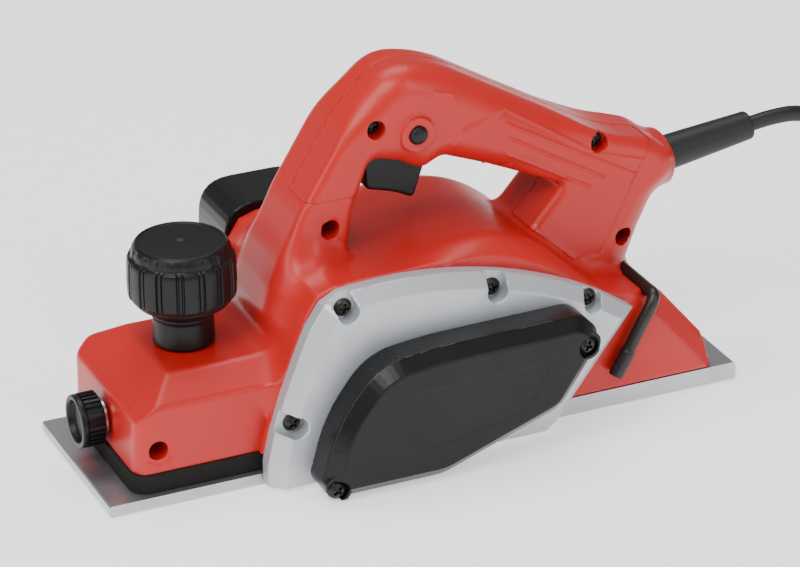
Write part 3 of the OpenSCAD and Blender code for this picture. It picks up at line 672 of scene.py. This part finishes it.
MARKS = [
    [(-17, 137), (25, 109.5), (48, 102)], [(-17, 130.5), (44, 96)], [(-16, 124), (30, 97)],
    [(-16, 116), (23, 94)],
    [(-18, 137), (-38, 131), (-40, 124.6)], [(-50, 150.6), (-41, 148), (-38.4, 131)],
]


def marks(x, z):
    """Raised lines on the cover's flat side, as a height in millimetres."""
    height = 0.0
    for line in MARKS:
        for (x0, z0), (x1, z1) in zip(line, line[1:]):
            ex, ez = x1 - x0, z1 - z0
            t = np.clip(((x - x0) * ex + (z - z0) * ez) / (ex * ex + ez * ez), 0, 1)
            off = np.hypot(x - x0 - ex * t, z - z0 - ez * t)
            height = np.maximum(height, 0.4 * (1 - ramp(off, 0.2, 1.0)))
    return height


def cover_field(x, y, z):
    """Handle's cover on the belt side, with its lock-button boss and raised marks."""
    shape = red_field(x, y, z) - marks(x, z) * (1 - ramp(y, -16, -12))
    boss = bar(LOCK, 7.6, x, y, z, -HALF_GRIP - 2, -10, 0.7)
    shape = join(shape, boss, 1.2)
    shape = meet(shape, np.maximum(inside_of(cover_region(0), x, z), y), 0.35)
    shape = np.maximum(shape, 2.6 - body_field(x, y, z))
    inner = slab(np.minimum.reduce([inside_of(h, x, z) for h in HOLLOWS]), y, -14.5, 14.5, 5)
    posts = [bar(p, 5.2, x, y, z, -20, 0) for p in HANDLE_SCREWS]
    posts.append(bar(LOCK, 6.4, x, y, z, -20, 0))
    inner = np.maximum(inner, -np.minimum.reduce(np.broadcast_arrays(*posts)))
    shape = np.maximum(shape, -inner)
    for p in HANDLE_SCREWS:
        shape = cut(shape, bar(p, 4.1, x, y, z, -30, -13), 0.5)
        shape = np.maximum(shape, -bar(p, 2.1, x, y, z, -14, 1))
    shape = np.maximum(shape, -slab(inside_of(TRIGGER_SLOT, x, z), y, -8.5, 8.5))
    shape = np.maximum(shape, -gland(x, y, z))
    return cut(shape, bar(LOCK, 4.1, x, y, z, -30, -1.2), 0.5)


# ---- Frame, cover, chute, seal and trigger ----


FRAME_ROOM = rounded([
    (-124, 7, 2), (-10, 7, 4), (17, 41, 3), (-18, 61, 18), (-60, 71.5, 18), (-100, 71, 8), (-117, 34, 6),
])


def notch(at, way, x, z, r):
    """Distance from a slot that runs from a screw out over the edge."""
    t = np.clip((x - at[0]) * way[0] + (z - at[1]) * way[1], 0, 14)
    return np.hypot(x - at[0] - way[0] * t, z - at[1] - way[1] * t) - r


def side_frame_field(x, y, z):
    """Cast frame: rim, bevel that runs out at the bottom, face and a notch for each screw."""
    shape = slab(inside_of(RIM, x, z), y, FRAME_FACE, NEAR, 0.4)
    shape = meet(shape, (inside_of(LOW_RIM, x, z) - 47.4 - y) * 0.707, 0.4)
    hollow = slab(inside_of(FRAME_ROOM, x, z), y, FRAME_FACE + 3, -30)
    sizes = [(DRUM, 14), (MOTOR, 14), (COVER_SCREWS[0], 8), (COVER_SCREWS[1], 5)]
    sizes += [(p, 5.5) for p in FRAME_SCREWS]
    posts = [bar(at, r, x, y, z, FRAME_FACE, NEAR + 0.5) for at, r in sizes]
    hollow = np.maximum(hollow, -np.minimum.reduce(np.broadcast_arrays(*posts)))
    shape = np.maximum(shape, -hollow)
    for at, way in zip(FRAME_SCREWS, ((-0.95, 0.3), (-0.35, 0.94), (0.15, 0.99), (0.4, 0.92))):
        shape = cut(shape, slab(notch(at, way, x, z, 4.7), y, -60, -45.5), 0.7)
    for at in (DRUM, MOTOR):
        shape = np.maximum(shape, -bar(at, 11, x, y, z, -50, -40))
        shape = np.maximum(shape, -bar(at, 7, x, y, z, -60, -49))
    return shape


PANEL = [(-86, 43.5), (-22, 44.5), (-27, 31), (-36, 24), (-77, 16)]


def belt_cover_field(x, y, z):
    """Belt cover: upright wall, bevel, flat face, a plain recessed outline and two screw seats."""
    d = inside_of(belt_outline(0), x, z)
    bevel = (d - 65.6 - y) * 0.707
    shape = meet(slab(d, y, COVER_FACE, FRAME_FACE, 0.5), bevel, 0.4)
    sunk = 1 - ramp(inside_of(PANEL, x, z), -0.5, 0.5)
    shape = shape + 0.16 * sunk * (1 - ramp(y, COVER_FACE + 0.3, COVER_FACE + 1))
    hollow = slab(inside_of(belt_outline(2), x, z), y, COVER_FACE + 2, -50)
    hollow = np.maximum(hollow, bevel + 2)
    posts = [np.maximum(bar(p, 6.5, x, y, z, COVER_FACE, FRAME_FACE), d) for p in COVER_SCREWS]
    hollow = np.maximum(hollow, -np.minimum(*posts))
    shape = np.maximum(shape, -hollow)
    for p in COVER_SCREWS:
        shape = np.minimum(shape, np.maximum(bar(p, 6.5, x, y, z, COVER_FACE + 2, FRAME_FACE, 0.5), d))
    for p in COVER_SCREWS:
        shape = cut(shape, bar(p, 4.9, x, y, z, -80, -67), 0.4)
        shape = np.maximum(shape, -bar(p, 2.2, x, y, z, -80, -50))
    return shape


def chute_field(x, y, z):
    """Chip duct on the far side with its screw flange, closed where it stands past the body."""
    d = inside_of(CHUTE, x, z)
    shape = slab(d, y, FAR, CHUTE_END, 1)
    flange = inside_of(rounded([(-129, 48, 5), (-129, 72, 5), (-62, 72, 5), (-62, 48, 5)]), x, z)
    shape = join(shape, slab(flange, y, FAR, FAR + 3, 0.6), 1.5)
    plate = np.maximum(y - FAR - 2, -1.5 - inside_of(BODY, x, z))
    shape = cut(shape, np.maximum(slab(d + 2.5, y, 40, 80), -plate), 0.5)
    for p in CHUTE_SCREWS:
        shape = np.maximum(shape, -bar(p, 1.8, x, y, z, 40, 50))
    return shape


def seal_field(x, y, z):
    """Foam skirt between the nose and the front sole."""
    across = np.hypot(np.maximum(-186 - x, 0), np.maximum(np.abs(y) - 30, 0)) - 8
    plan = np.maximum(np.maximum(across, np.abs(y) - 38), x + 127)
    inner = np.maximum(np.abs(x + 160.5) - 27.5, np.abs(y) - 32)
    return cut(slab(plan, z, 5.02, 13.5, 0.8), inner, 0.6)


TRIGGER = rounded([
    (-77, 121, 1), (-75, 129.5, 1), (-46, 126, 1), (-50, 113, 3), (-54.5, 99.5, 3), (-63, 104, 5),
    (-76, 107.5, 2),
])


def trigger_field(x, y, z):
    """Trigger with its pin's hole."""
    return cut(slab(inside_of(TRIGGER, x, z), y, -8, 8, 1.6), bar((-72, 127), 1.55, x, y, z, -20, 20))


def screw_field(x, y, z):
    """Domed head, 8 across, with a cross recess and a short shank."""
    off = np.hypot(x, y)
    dome = np.hypot(off, z + 2.4) - 4.9
    head = meet(meet(dome, off - 4, 0.5), -z, 0.3)
    deep = np.clip(z / 2.4, 0, 1)
    for a, b in ((x, y), (y, x)):
        arm = np.maximum(np.maximum(np.abs(a) - 0.42 - 0.2 * deep, np.abs(b) - 1.5 - 0.8 * deep), 0.7 - z)
        head = cut(head, arm, 0.15)
    return np.minimum(head, slab(off - 1.95, z, -6, 0.3, 0.4))


# ---- Geometry node trees ----


class Tree:
    """A geometry node tree with named inputs."""

    def __init__(self, name, inputs):
        self.group = bpy.data.node_groups.new(name, "GeometryNodeTree")
        self.group.interface.new_socket("Geometry", in_out="INPUT", socket_type="NodeSocketGeometry")
        self.ids = {}
        for label, (kind, value) in inputs.items():
            made = self.group.interface.new_socket(label, in_out="INPUT", socket_type="NodeSocket" + kind)
            if value is not None:
                made.default_value = value
            self.ids[label] = made.identifier
        self.group.interface.new_socket("Geometry", in_out="OUTPUT", socket_type="NodeSocketGeometry")
        self.source = self.group.nodes.new("NodeGroupInput").outputs

    def node(self, kind, settings=None, inputs=None):
        made = self.group.nodes.new(kind)
        for name, value in (settings or {}).items():
            setattr(made, name, value)
        for name, value in (inputs or {}).items():
            if isinstance(value, bpy.types.NodeSocket):
                self.group.links.new(value, made.inputs[name])
            else:
                made.inputs[name].default_value = value
        return made.outputs

    def end(self, geometry, material):
        """Real geometry with a material, which is the tree's result."""
        real = self.node("GeometryNodeRealizeInstances", {}, {"Geometry": geometry})
        done = self.node("GeometryNodeSetMaterial", {}, {"Geometry": real[0], "Material": material})
        out = self.group.nodes.new("NodeGroupOutput")
        self.group.links.new(done[0], out.inputs[0])


def grown(name, start, tree, values, angle=40):
    """Runs a tree on a mesh with input values, and keeps the result as a plain mesh object."""
    obj = linked(name, start)
    grow = obj.modifiers.new("grow", "NODES")
    grow.node_group = tree.group
    for label, value in values.items():
        grow[tree.ids[label]] = value
    done = bpy.data.meshes.new_from_object(obj.evaluated_get(bpy.context.evaluated_depsgraph_get()))
    obj.modifiers.clear()
    obj.data = done
    done.shade_smooth()
    done.set_sharp_from_angle(angle=math.radians(angle))
    return obj


def screw_tree(finish):
    """Puts a screw on every point, aimed one way and turned at random about its axis."""
    tree = Tree("screws_" + finish, {
        "Screw": ("Object", None), "Aim": ("Rotation", None), "Size": ("Float", 1.0), "Seed": ("Int", 7),
    })
    source = tree.source
    shape = tree.node("GeometryNodeObjectInfo", {}, {"Object": source["Screw"]})
    spots = tree.node("GeometryNodeInstanceOnPoints", {}, {
        "Points": source["Geometry"], "Instance": shape["Geometry"], "Rotation": source["Aim"],
        "Scale": source["Size"],
    })
    turn = tree.node("FunctionNodeRandomValue", {"data_type": "FLOAT"}, {
        "Min": 0.0, "Max": 3.14, "Seed": source["Seed"],
    })
    spin = tree.node("ShaderNodeCombineXYZ", {}, {"Z": turn[1]})
    placed = tree.node("GeometryNodeRotateInstances", {}, {"Instances": spots[0], "Rotation": spin[0]})
    tree.end(placed[0], FINISHES[finish])
    return tree


def rib_tree(finish):
    """A ring of equal ribs round the X axis."""
    tree = Tree("ribs_" + finish, {
        "Count": ("Int", 30), "Radius": ("Float", 0.011), "Size": ("Vector", (0.01, 0.001, 0.001)),
        "Middle": ("Vector", (0.0, 0.0, 0.0)),
    })
    source = tree.source
    ring = tree.node("GeometryNodeMeshCircle", {}, {
        "Vertices": source["Count"], "Radius": source["Radius"],
    })
    rib = tree.node("GeometryNodeMeshCube", {}, {
        "Size": source["Size"], "Vertices X": 2, "Vertices Y": 3, "Vertices Z": 3,
    })
    index = tree.node("GeometryNodeInputIndex")
    share = tree.node("ShaderNodeMath", {"operation": "DIVIDE"}, {0: index[0], 1: source["Count"]})
    turn = tree.node("ShaderNodeMath", {"operation": "MULTIPLY"}, {0: share[0], 1: 2 * math.pi})
    spin = tree.node("ShaderNodeCombineXYZ", {}, {"Z": turn[0]})
    ribs = tree.node("GeometryNodeInstanceOnPoints", {}, {
        "Points": ring[0], "Instance": rib[0], "Rotation": spin[0],
    })
    stood = tree.node("GeometryNodeTransform", {}, {
        "Geometry": ribs[0], "Translation": source["Middle"], "Rotation": (0.0, math.pi / 2, 0.0),
    })
    join_node = tree.node("GeometryNodeJoinGeometry")[0].node
    tree.group.links.new(stood[0], join_node.inputs[0])
    tree.group.links.new(source["Geometry"], join_node.inputs[0])
    tree.end(join_node.outputs[0], FINISHES[finish])
    return tree


# ---- Cord ----

CORD_ROUTE = [
    (78, 0, 95.2), (94, 0, 97.4), (109, 0, 99.5), (121, 0, 100.9), (133, 0, 100.6), (144, -0.5, 96.8),
    (153, -1.5, 89.4), (159, -3, 79.2), (162.5, -5, 67), (164.5, -7.5, 54), (166.5, -10, 41),
    (169.5, -13, 29), (175, -16.5, 18.5), (183, -21, 10.6), (193.5, -26, 5.8), (205, -30.6, 4),
    (219, -35.3, 3.5),
]
CORD_TAIL = [
    (272.5, 12, 17.2), (279, 30, 16), (284, 48, 14.5), (283.5, 62, 13.4), (277, 72, 13), (268, 75, 13),
    (262, 75, 13),
]
COIL = (231, 8)
COIL_SLOTS = [
    (43.75, 3.5), (36.75, 3.5), (29.75, 3.5), (29.75, 10.5), (36.75, 10.5), (43.75, 10.5), (43.75, 17.5),
    (36.75, 17.5),
]


def coil_points(turns):
    """The coil's turns, one slot each, anticlockwise from where the cord comes in."""
    points, start = [], math.radians(-98)
    for step in np.arange(0, turns * 36 + 1) / 36:
        low = min(int(step), len(COIL_SLOTS) - 1)
        high = min(low + 1, len(COIL_SLOTS) - 1)
        share = ramp(step - low, 0.72, 1.0)
        r = COIL_SLOTS[low][0] * (1 - share) + COIL_SLOTS[high][0] * share
        h = COIL_SLOTS[low][1] * (1 - share) + COIL_SLOTS[high][1] * share
        a = start + 2 * math.pi * step
        points.append((COIL[0] + r * math.cos(a), COIL[1] + r * math.sin(a), h))
    return points


def cord_line(turns):
    """The whole free cord from inside the guard to the plug, in millimetres."""
    coil = coil_points(turns)
    return smooth_path([*CORD_ROUTE, *coil[1:], *CORD_TAIL], 4)


# ---- Properties, operators and panel ----


class PlanerLook(bpy.types.PropertyGroup):
    """Colours and finish that a user would change."""

    red: bpy.props.FloatVectorProperty(
        name="Red", description="Colour of the red mouldings", subtype="COLOR", default=(0.5, 0.012, 0.01))
    gloss: bpy.props.FloatProperty(
        name="Roughness", description="Roughness of the red mouldings", default=0.36, min=0.05, max=1.0)
    floor: bpy.props.FloatVectorProperty(
        name="Floor", description="Colour of the studio floor", subtype="COLOR", default=(0.9, 0.9, 0.9))


class PlanerSizes(bpy.types.PropertyGroup):
    """Fineness of the mouldings and size of what repeats."""

    coarse: bpy.props.FloatProperty(
        name="Housing cells", description="Cell size that the large mouldings are shaped with",
        default=0.00144, unit="LENGTH")
    fine: bpy.props.FloatProperty(
        name="Cover cells", description="Cell size that the small mouldings are shaped with",
        default=0.0007, unit="LENGTH")
    turns: bpy.props.FloatProperty(
        name="Coil turns", description="Turns of cord in the coil", default=7.22)
    pads: bpy.props.IntProperty(
        name="Knob pads", description="Raised pads round the depth knob", default=16)
    ribs: bpy.props.IntProperty(name="Clamp ribs", description="Ribs round the clamp knob", default=30)
    seed: bpy.props.IntProperty(name="Screw seed", description="Seed that turns the screws", default=7)


CAMERA_AT, CAMERA_LENS = (-0.6256, -1.2534, 0.7260), 162.4
CAMERA_TURN = (24.38, 25.92, -0.4)
FLOOR_TOP, FLOOR_REACH = -0.4, 6000


class PLANER_OT_stage(bpy.types.Operator):
    """Camera, pale floor and soft studio lights"""

    bl_idname = "planer.stage"
    bl_label = "Stage"

    def execute(self, context):
        scene = context.scene
        data = bpy.data.cameras.new("camera")
        data.sensor_width, data.lens = 36, CAMERA_LENS
        data.clip_end = 50
        camera = linked("camera", data)
        yaw, pitch, roll = (math.radians(a) for a in CAMERA_TURN)
        ahead = Vector((math.sin(yaw) * math.cos(pitch), math.cos(yaw) * math.cos(pitch), -math.sin(pitch)))
        right = Vector((math.cos(yaw), -math.sin(yaw), 0))
        up = right.cross(ahead)
        side = right * math.cos(roll) + up * math.sin(roll)
        top = up * math.cos(roll) - right * math.sin(roll)
        turn = Matrix((side, top, -ahead)).transposed().to_4x4()
        camera.matrix_world = Matrix.Translation(CAMERA_AT) @ turn
        scene.camera = camera
        look = scene.planer_look
        floor = Finish("studio_floor")
        pale, dusty = [*look.floor, 1], (0.8, 0.8, 0.8, 1)
        floor.set(Base_Color=floor.blend(floor.noise(3, 3) * 0.04, pale, dusty))
        floor.set(Roughness=0.9, Emission_Color=pale, Emission_Strength=0.85)
        corners = [(x, y, FLOOR_TOP) for x, y in ((-1, -1), (1, -1), (1, 1), (-1, 1))]
        corners = [(x * FLOOR_REACH, y * FLOOR_REACH, z) for x, y, z in corners]
        plane = linked("studio_floor", mesh_of("studio_floor", corners, [(0, 1, 2, 3)], floor.material))
        world = bpy.data.worlds.new("studio")
        world.use_nodes = True
        world.node_tree.nodes["Background"].inputs[0].default_value = (1, 1, 1, 1)
        world.node_tree.nodes["Background"].inputs[1].default_value = 0.3
        scene.world = world
        lights = [
            ("key", (-0.9, -0.9, 1.7), (1.3, 0.9), 26), ("top", (0.1, 0.5, 1.9), (1.6, 1.0), 24),
            ("front", (-1.7, -0.3, 0.7), (0.5, 1.2), 9), ("strip", (0.7, -1.5, 0.9), (0.4, 1.3), 8),
        ]
        for name, place, size, power in lights:
            lamp = bpy.data.lights.new(name, "AREA")
            lamp.shape, lamp.size, lamp.size_y, lamp.energy = "RECTANGLE", *size, power
            made = linked(name, lamp)
            made.location = place
            made.rotation_euler = (Vector((0, 0, 0.06)) - Vector(place)).to_track_quat("-Z", "Y").to_euler()
        return {"FINISHED"}


class PLANER_OT_cord(bpy.types.Operator):
    """Guard, mains cord, coil, tie, plug and pins"""

    bl_idname = "planer.cord"
    bl_label = "Cord"

    def execute(self, context):
        profile = eased([
            (0, -5), (10, -5), (10, -1), (7.8, -0.5), (7.7, 12), (6.4, 49.2), (5.9, 50), (3.7, 50), (0, 50),
        ], 0.7)
        points, faces = turned(profile, 64)
        shape = (aimed(points, GUARD_ROOT, GUARD_AXIS), faces)
        piece("guard", shape, "rubber", "housing", "cord_guard")

        def grip(turn, r, z):
            """Three-lobed front and a ribbed neck."""
            lobes = 0.5 * np.abs(np.sin(3 * turn)) ** 3 if 2 < z < 20 else 0
            ribs = 0.7 if 22 < z < 37 and int(z / 2) % 2 else 0
            return r - lobes - ribs

        profile = eased([(0, -15), (12.8, -15), (12.8, 5), (6.4, 20), (5.5, 38), (3.6, 38), (0, 38)], 2.2, 5)
        points, faces = turned(profile, 72, grip)
        shape = (aimed(points, PLUG_AT, (1, 0, 0)), faces)
        body = piece("plug", shape, "black_plastic", "housing", "plug_body")
        pin, faces = turned(eased([(0, -34), (2.0, -34), (2.4, -32.5), (2.4, -15), (0, -15)], 0.6), 32)
        sides = [aimed(pin, np.add(PLUG_AT, (0, side, 0)), (1, 0, 0)) for side in (-9.5, 9.5)]
        second = [tuple(i + len(pin) for i in face) for face in faces]
        shape = (np.vstack(sides), [*faces, *second])
        prongs = piece("plug_prongs", shape, "brass", "housing", "plug_pins")
        turn = math.radians(60)
        out = np.array([math.cos(turn), math.sin(turn), 0])
        across = np.array([-math.sin(turn), math.cos(turn), 0])
        ring = rounded([(25.8, 0.05, 2.5), (47.7, 0.05, 2.5), (47.7, 21.4, 2.5), (25.8, 21.4, 2.5)])
        inner = rounded([(26.3, 0.5, 2.2), (47.2, 0.5, 2.2), (47.2, 20.9, 2.2), (26.3, 20.9, 2.2)])
        points, faces, n = [], [], len(ring)
        for loop, w in ((ring, -6), (ring, 6), (inner, 6), (inner, -6)):
            points += [np.array([*COIL, 0]) + out * r + across * w + np.array([0, 0, z]) for r, z in loop]
        for s in range(4):
            for k in range(n):
                a, b = s * n, ((s + 1) % 4) * n
                faces.append((a + k, a + (k + 1) % n, b + (k + 1) % n, b + k))
        shape = (np.array(points), [face[::-1] for face in faces])
        tie = piece("tie_band", shape, "rubber", "housing", "coil_tie")
        line = cord_line(context.scene.planer_sizes.turns)
        curve = bpy.data.curves.new("cord", "CURVE")
        curve.dimensions, curve.bevel_depth, curve.bevel_resolution = "3D", 0.0035, 3
        curve.use_fill_caps = True
        spline = curve.splines.new("POLY")
        spline.points.add(len(line) - 1)
        spline.points.foreach_set("co", np.c_[line * MM, np.ones(len(line))].ravel())
        curve.materials.append(FINISHES["cord_rubber"])
        cord = settled(linked("mains_cord", curve), "housing", "cord_rubber", "power_cord", "cord_coil")
        return {"FINISHED"}


class PLANER_OT_housing(bpy.types.Operator):
    """Red main housing and handle cover"""

    bl_idname = "planer.housing"
    bl_label = "Housing"

    def execute(self, context):
        sizes = context.scene.planer_sizes
        shape = contour(housing_field, (-194, -42, 8), (76, 51, 163), sizes.coarse / MM)
        piece("housing_shell", shape, "red_housing", "housing", "main_housing", angle=50)
        shape = contour(cover_field, (-122, -21, 60), (56, 0, 163), sizes.fine / MM)
        piece("handle_shell", shape, "red_housing", "housing", "handle_cover", angle=50)
        return {"FINISHED"}


class PLANER_OT_side_pieces(bpy.types.Operator):
    """Cast frame, belt cover and chip chute"""

    bl_idname = "planer.side_pieces"
    bl_label = "Frame, belt cover and chute"

    def execute(self, context):
        fine = context.scene.planer_sizes.fine / MM
        shape = contour(side_frame_field, (-139, -53, 0.6), (29, -41.5, 84.5), fine)
        piece("cast_frame", shape, "cast_aluminium", "housing", "side_frame")
        shape = contour(belt_cover_field, (-123, -71, 0.8), (3, -53, 61), fine)
        piece("belt_guard", shape, "black_cover", "housing", "belt_cover")
        shape = contour(chute_field, (-129, 45, 44), (-62, 76, 86), fine)
        piece("chip_duct", shape, "black_cover", "housing", "chip_chute")
        return {"FINISHED"}


class PLANER_OT_nose_pieces(bpy.types.Operator):
    """Foam skirt, depth knob and clamp knob"""

    bl_idname = "planer.nose_pieces"
    bl_label = "Skirt and knobs"

    def execute(self, context):
        sizes = context.scene.planer_sizes
        shape = contour(seal_field, (-194, -38, 5), (-127, 38, 13.5), 0.7)
        seal = piece("foam_skirt", shape, "seal_foam", "housing", "nose_seal")
        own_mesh(seal)
        profile = [
            (0, 52.4), (13, 52.4), (12.7, 64), (13.6, 65.2), (13.6, 66.6), (16, 68.2), (20.8, 71.4),
            (22.6, 74.5), (22.8, 80), (22.6, 89.5), (21.4, 93.2), (19.4, 96.6), (18.6, 97.4),
            (17.7, 97.4), (17.3, 96.9), (3.2, 96.9), (1.2, 96.2), (0, 96.1),
        ]
        pads = sizes.pads

        def pad(turn, r, z):
            """Leaves raised pads with a bar between each two, under a scalloped shoulder."""
            phase = np.abs((turn * pads / (2 * math.pi)) % 1 - 0.5) * 2
            on = 1 - ramp(phase, 0.64, 0.7) * (1 - ramp(phase, 0.8, 0.88) * 0.7)
            high = ramp(z, 73.2, 73.9) * (1 - ramp(z, 91.2, 91.9))
            shoulder = 0.45 * ramp(z, 91.6, 92.2) * (1 - ramp(z, 95.6, 96.4)) * ramp(phase, 0.5, 0.62)
            return r - (0.95 * (1 - on * high) * ramp(z, 70, 72.5) * (1 - ramp(z, 92, 95.5)) + shoulder)

        outline = [tuple(p) for p in eased(profile, 0.8, 4)]
        knob_side = []
        for a, b in zip(outline, outline[1:]):
            for t in np.arange(0, 1, 1 / max(1, int(abs(b[1] - a[1]) / 0.4))):
                knob_side.append((a[0] + (b[0] - a[0]) * t, a[1] + (b[1] - a[1]) * t))
        points, faces = turned([*knob_side, outline[-1]], 20 * pads, pad)
        shape = (points + (*KNOB_AT, 0), faces)
        piece("knob", shape, "black_plastic", "depth_knob", "depth_knob", angle=50)
        profile = [
            (0, 2.6), (8.3, 2.6), (8.6, 2.2), (9.2, 0.2), (9.8, 0), (11, 0), (11.4, 0.5), (11.4, 2.4),
            (10.9, 2.9), (10.9, 9.9), (10.3, 10.5), (3.95, 10.5), (3.95, 18), (0, 18),
        ]
        points, faces = turned(eased(profile, 0.3, 3), 72)
        dial = (aimed(points, (-205.5, *CLAMP_AT), (1, 0, 0)), faces)
        tree = rib_tree("black_plastic")
        ribbed = grown("clamp_dial", mesh_of("clamp_dial", *dial, FINISHES["black_plastic"]), tree, {
            "Count": sizes.ribs, "Radius": 10.95 * MM, "Size": (1.1 * MM, 0.9 * MM, 7.0 * MM),
            "Middle": (-199.2 * MM, CLAMP_AT[0] * MM, CLAMP_AT[1] * MM),
        })
        settled(ribbed, "clamp_knob", "black_plastic", "clamp_knob")
        return {"FINISHED"}


class PLANER_OT_controls(bpy.types.Operator):
    """Trigger, lock button and the small springs"""

    bl_idname = "planer.controls"
    bl_label = "Controls and springs"

    def execute(self, context):
        shape = contour(trigger_field, (-77, -8, 99), (-45, 8, 131), 0.5)
        piece("finger_trigger", shape, "black_plastic", "trigger", "trigger")
        profile = eased([(0, 0), (3.9, 0), (3.9, 9), (3.2, 10), (1.7, 10.4), (0, 10.5)], 0.5)
        points, faces = turned(profile, 48)
        shape = (aimed(points, (LOCK[0], -12, LOCK[1]), (0, -1, 0)), faces)
        piece("button", shape, "black_plastic", "lock_button", "lock_button")
        up, inwards = (0, 0, 1), (0, 1, 0)
        depth_end, lock_end = (0, 0, 0.0333), (0, -0.0013, 0)
        springs = [
            ("coil_spring", "depth_spring", (*KNOB_AT, 15.1), up, 8, 0.9, 18.2, 5,
             "front_base_slide", depth_end, 0.945),
            ("button_spring", "lock_spring", (LOCK[0], -8.7, LOCK[1]), inwards, 2.2, 0.4, 7.4, 4,
             "lock_button_push", lock_end, 0.595),
        ]
        for name, node, at, axis, r, wire, length, turns, joint, anchor, keep in springs:
            t = np.linspace(0, 1, 40 * turns)
            angle = 2 * math.pi * turns * t
            rise = wire + (length - 2 * wire) * t
            path = np.stack([(r - 0.02) * np.cos(angle), (r - 0.02) * np.sin(angle), rise], 1)
            tube = swept(path, wire, 10)
            spring = piece(name, (aimed(tube[0], at, axis), tube[1]), "steel", "housing", node)
            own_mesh(spring)
        return {"FINISHED"}


class PLANER_OT_fasteners(bpy.types.Operator):
    """Every visible screw"""

    bl_idname = "planer.fasteners"
    bl_label = "Screws"

    def execute(self, context):
        source = linked("screw_shape", mesh_of("screw_shape", *contour(
            screw_field, (-4, -4, -6), (4, 4, 2.5), 0.3), FINISHES["black_screw"]))
        tree = screw_tree("black_screw")
        near, far, down = (math.pi / 2, 0, 0), (-math.pi / 2, 0, 0), (math.pi, 0, 0)
        groups = [
            ("frame_screw_set", "frame_screws", [(x, -45.5, z) for x, z in FRAME_SCREWS], near, 1.0),
            ("cover_screw_set", "cover_screws", [(x, -67, z) for x, z in COVER_SCREWS], near, 1.05),
            ("handle_screw_set", "handle_screws", [(x, -13, z) for x, z in HANDLE_SCREWS], near, 0.88),
            ("deep_screw_set", "housing_screws", [(x, -6, z) for x, z in DEEP_SCREWS], near, 0.95),
            ("chute_screw_set", "chute_screws", [(x, 48, z) for x, z in CHUTE_SCREWS], far, 0.75),
            ("base_screw_set", "base_screws", [(x, y, 3.4) for x, y in BASE_SCREWS], down, 1.05),
        ]
        seed = context.scene.planer_sizes.seed
        for k, (name, node, spots, aim, size) in enumerate(groups):
            start = bpy.data.meshes.new(name)
            start.from_pydata([tuple(v * MM for v in p) for p in spots], [], [])
            screws = grown(name, start, tree, {"Screw": source, "Aim": aim, "Size": size, "Seed": seed + k})
            settled(screws, "housing", "black_screw", node)
        bpy.data.objects.remove(source)
        return {"FINISHED"}


class PLANER_OT_wrench(bpy.types.Operator):
    """Blade wrench in its clip behind the frame"""

    bl_idname = "planer.wrench"
    bl_label = "Wrench"

    def execute(self, context):
        path = [(WRENCH_HOLE[0], y, WRENCH_HOLE[1]) for y in (-10, -20, -30, -39)]
        path += [
            (41, -42.4, 50.9), (40.5, -44.4, 49.9), (39.2, -45.4, 47.6), (37.6, -45.6, 44.6),
            (36, -45.6, 42), (32, -45.6, 34.7), (28.4, -45.6, 27.9), (28.2, -45.6, 27.5),
            (25, -45.6, 21.6), (22.5, -45.6, 17),
        ]
        line = smooth_path(path, 5)
        radii = 2.75 + 0.5 * ramp(-line[:, 2], -28.4, -27.2)
        piece("wrench", swept(line, radii, 24), "black_screw", "wrench", "blade_wrench", angle=45)
        return {"FINISHED"}


class PLANER_OT_finishes(bpy.types.Operator):
    """Finishes on the CAD nodes that stay"""

    bl_idname = "planer.finishes"
    bl_label = "Finishes"

    def execute(self, context):
        named = {entry["node"]: entry["material_slot"] for entry in frame["record"]["subparts"]}
        for name, node in frame["nodes"].items():
            node.data.materials.clear()
            node.data.materials.append(FINISHES[named[name]])
        return {"FINISHED"}


class PLANER_PT_panel(bpy.types.Panel):
    """Settings and steps of the planer"""

    bl_idname = "PLANER_PT_panel"
    bl_label = "Planer"
    bl_space_type = "VIEW_3D"
    bl_region_type = "UI"
    bl_category = "Planer"

    def draw(self, context):
        for name in ("red", "gloss", "floor"):
            self.layout.prop(context.scene.planer_look, name)
        for name in ("coarse", "fine", "turns", "pads", "ribs", "seed"):
            self.layout.prop(context.scene.planer_sizes, name)
        for step in STEPS:
            self.layout.operator(step.bl_idname)


STEPS = [
    PLANER_OT_stage, PLANER_OT_cord, PLANER_OT_housing, PLANER_OT_side_pieces, PLANER_OT_nose_pieces,
    PLANER_OT_controls, PLANER_OT_fasteners, PLANER_OT_wrench, PLANER_OT_finishes,
]
CLASSES = [PlanerLook, PlanerSizes, *STEPS, PLANER_PT_panel]


def register():
    for kind in CLASSES:
        bpy.utils.register_class(kind)
    bpy.types.Scene.planer_look = bpy.props.PointerProperty(type=PlanerLook)
    bpy.types.Scene.planer_sizes = bpy.props.PointerProperty(type=PlanerSizes)


def unregister():
    del bpy.types.Scene.planer_sizes
    del bpy.types.Scene.planer_look
    for kind in reversed(CLASSES):
        bpy.utils.unregister_class(kind)


def main():
    register()
    make_finishes(bpy.context.scene.planer_look)
    for step in STEPS:
        group, name = step.bl_idname.split(".")
        getattr(getattr(bpy.ops, group), name)()
    bpy.context.view_layer.update()


if __name__ == "__main__":
    main()
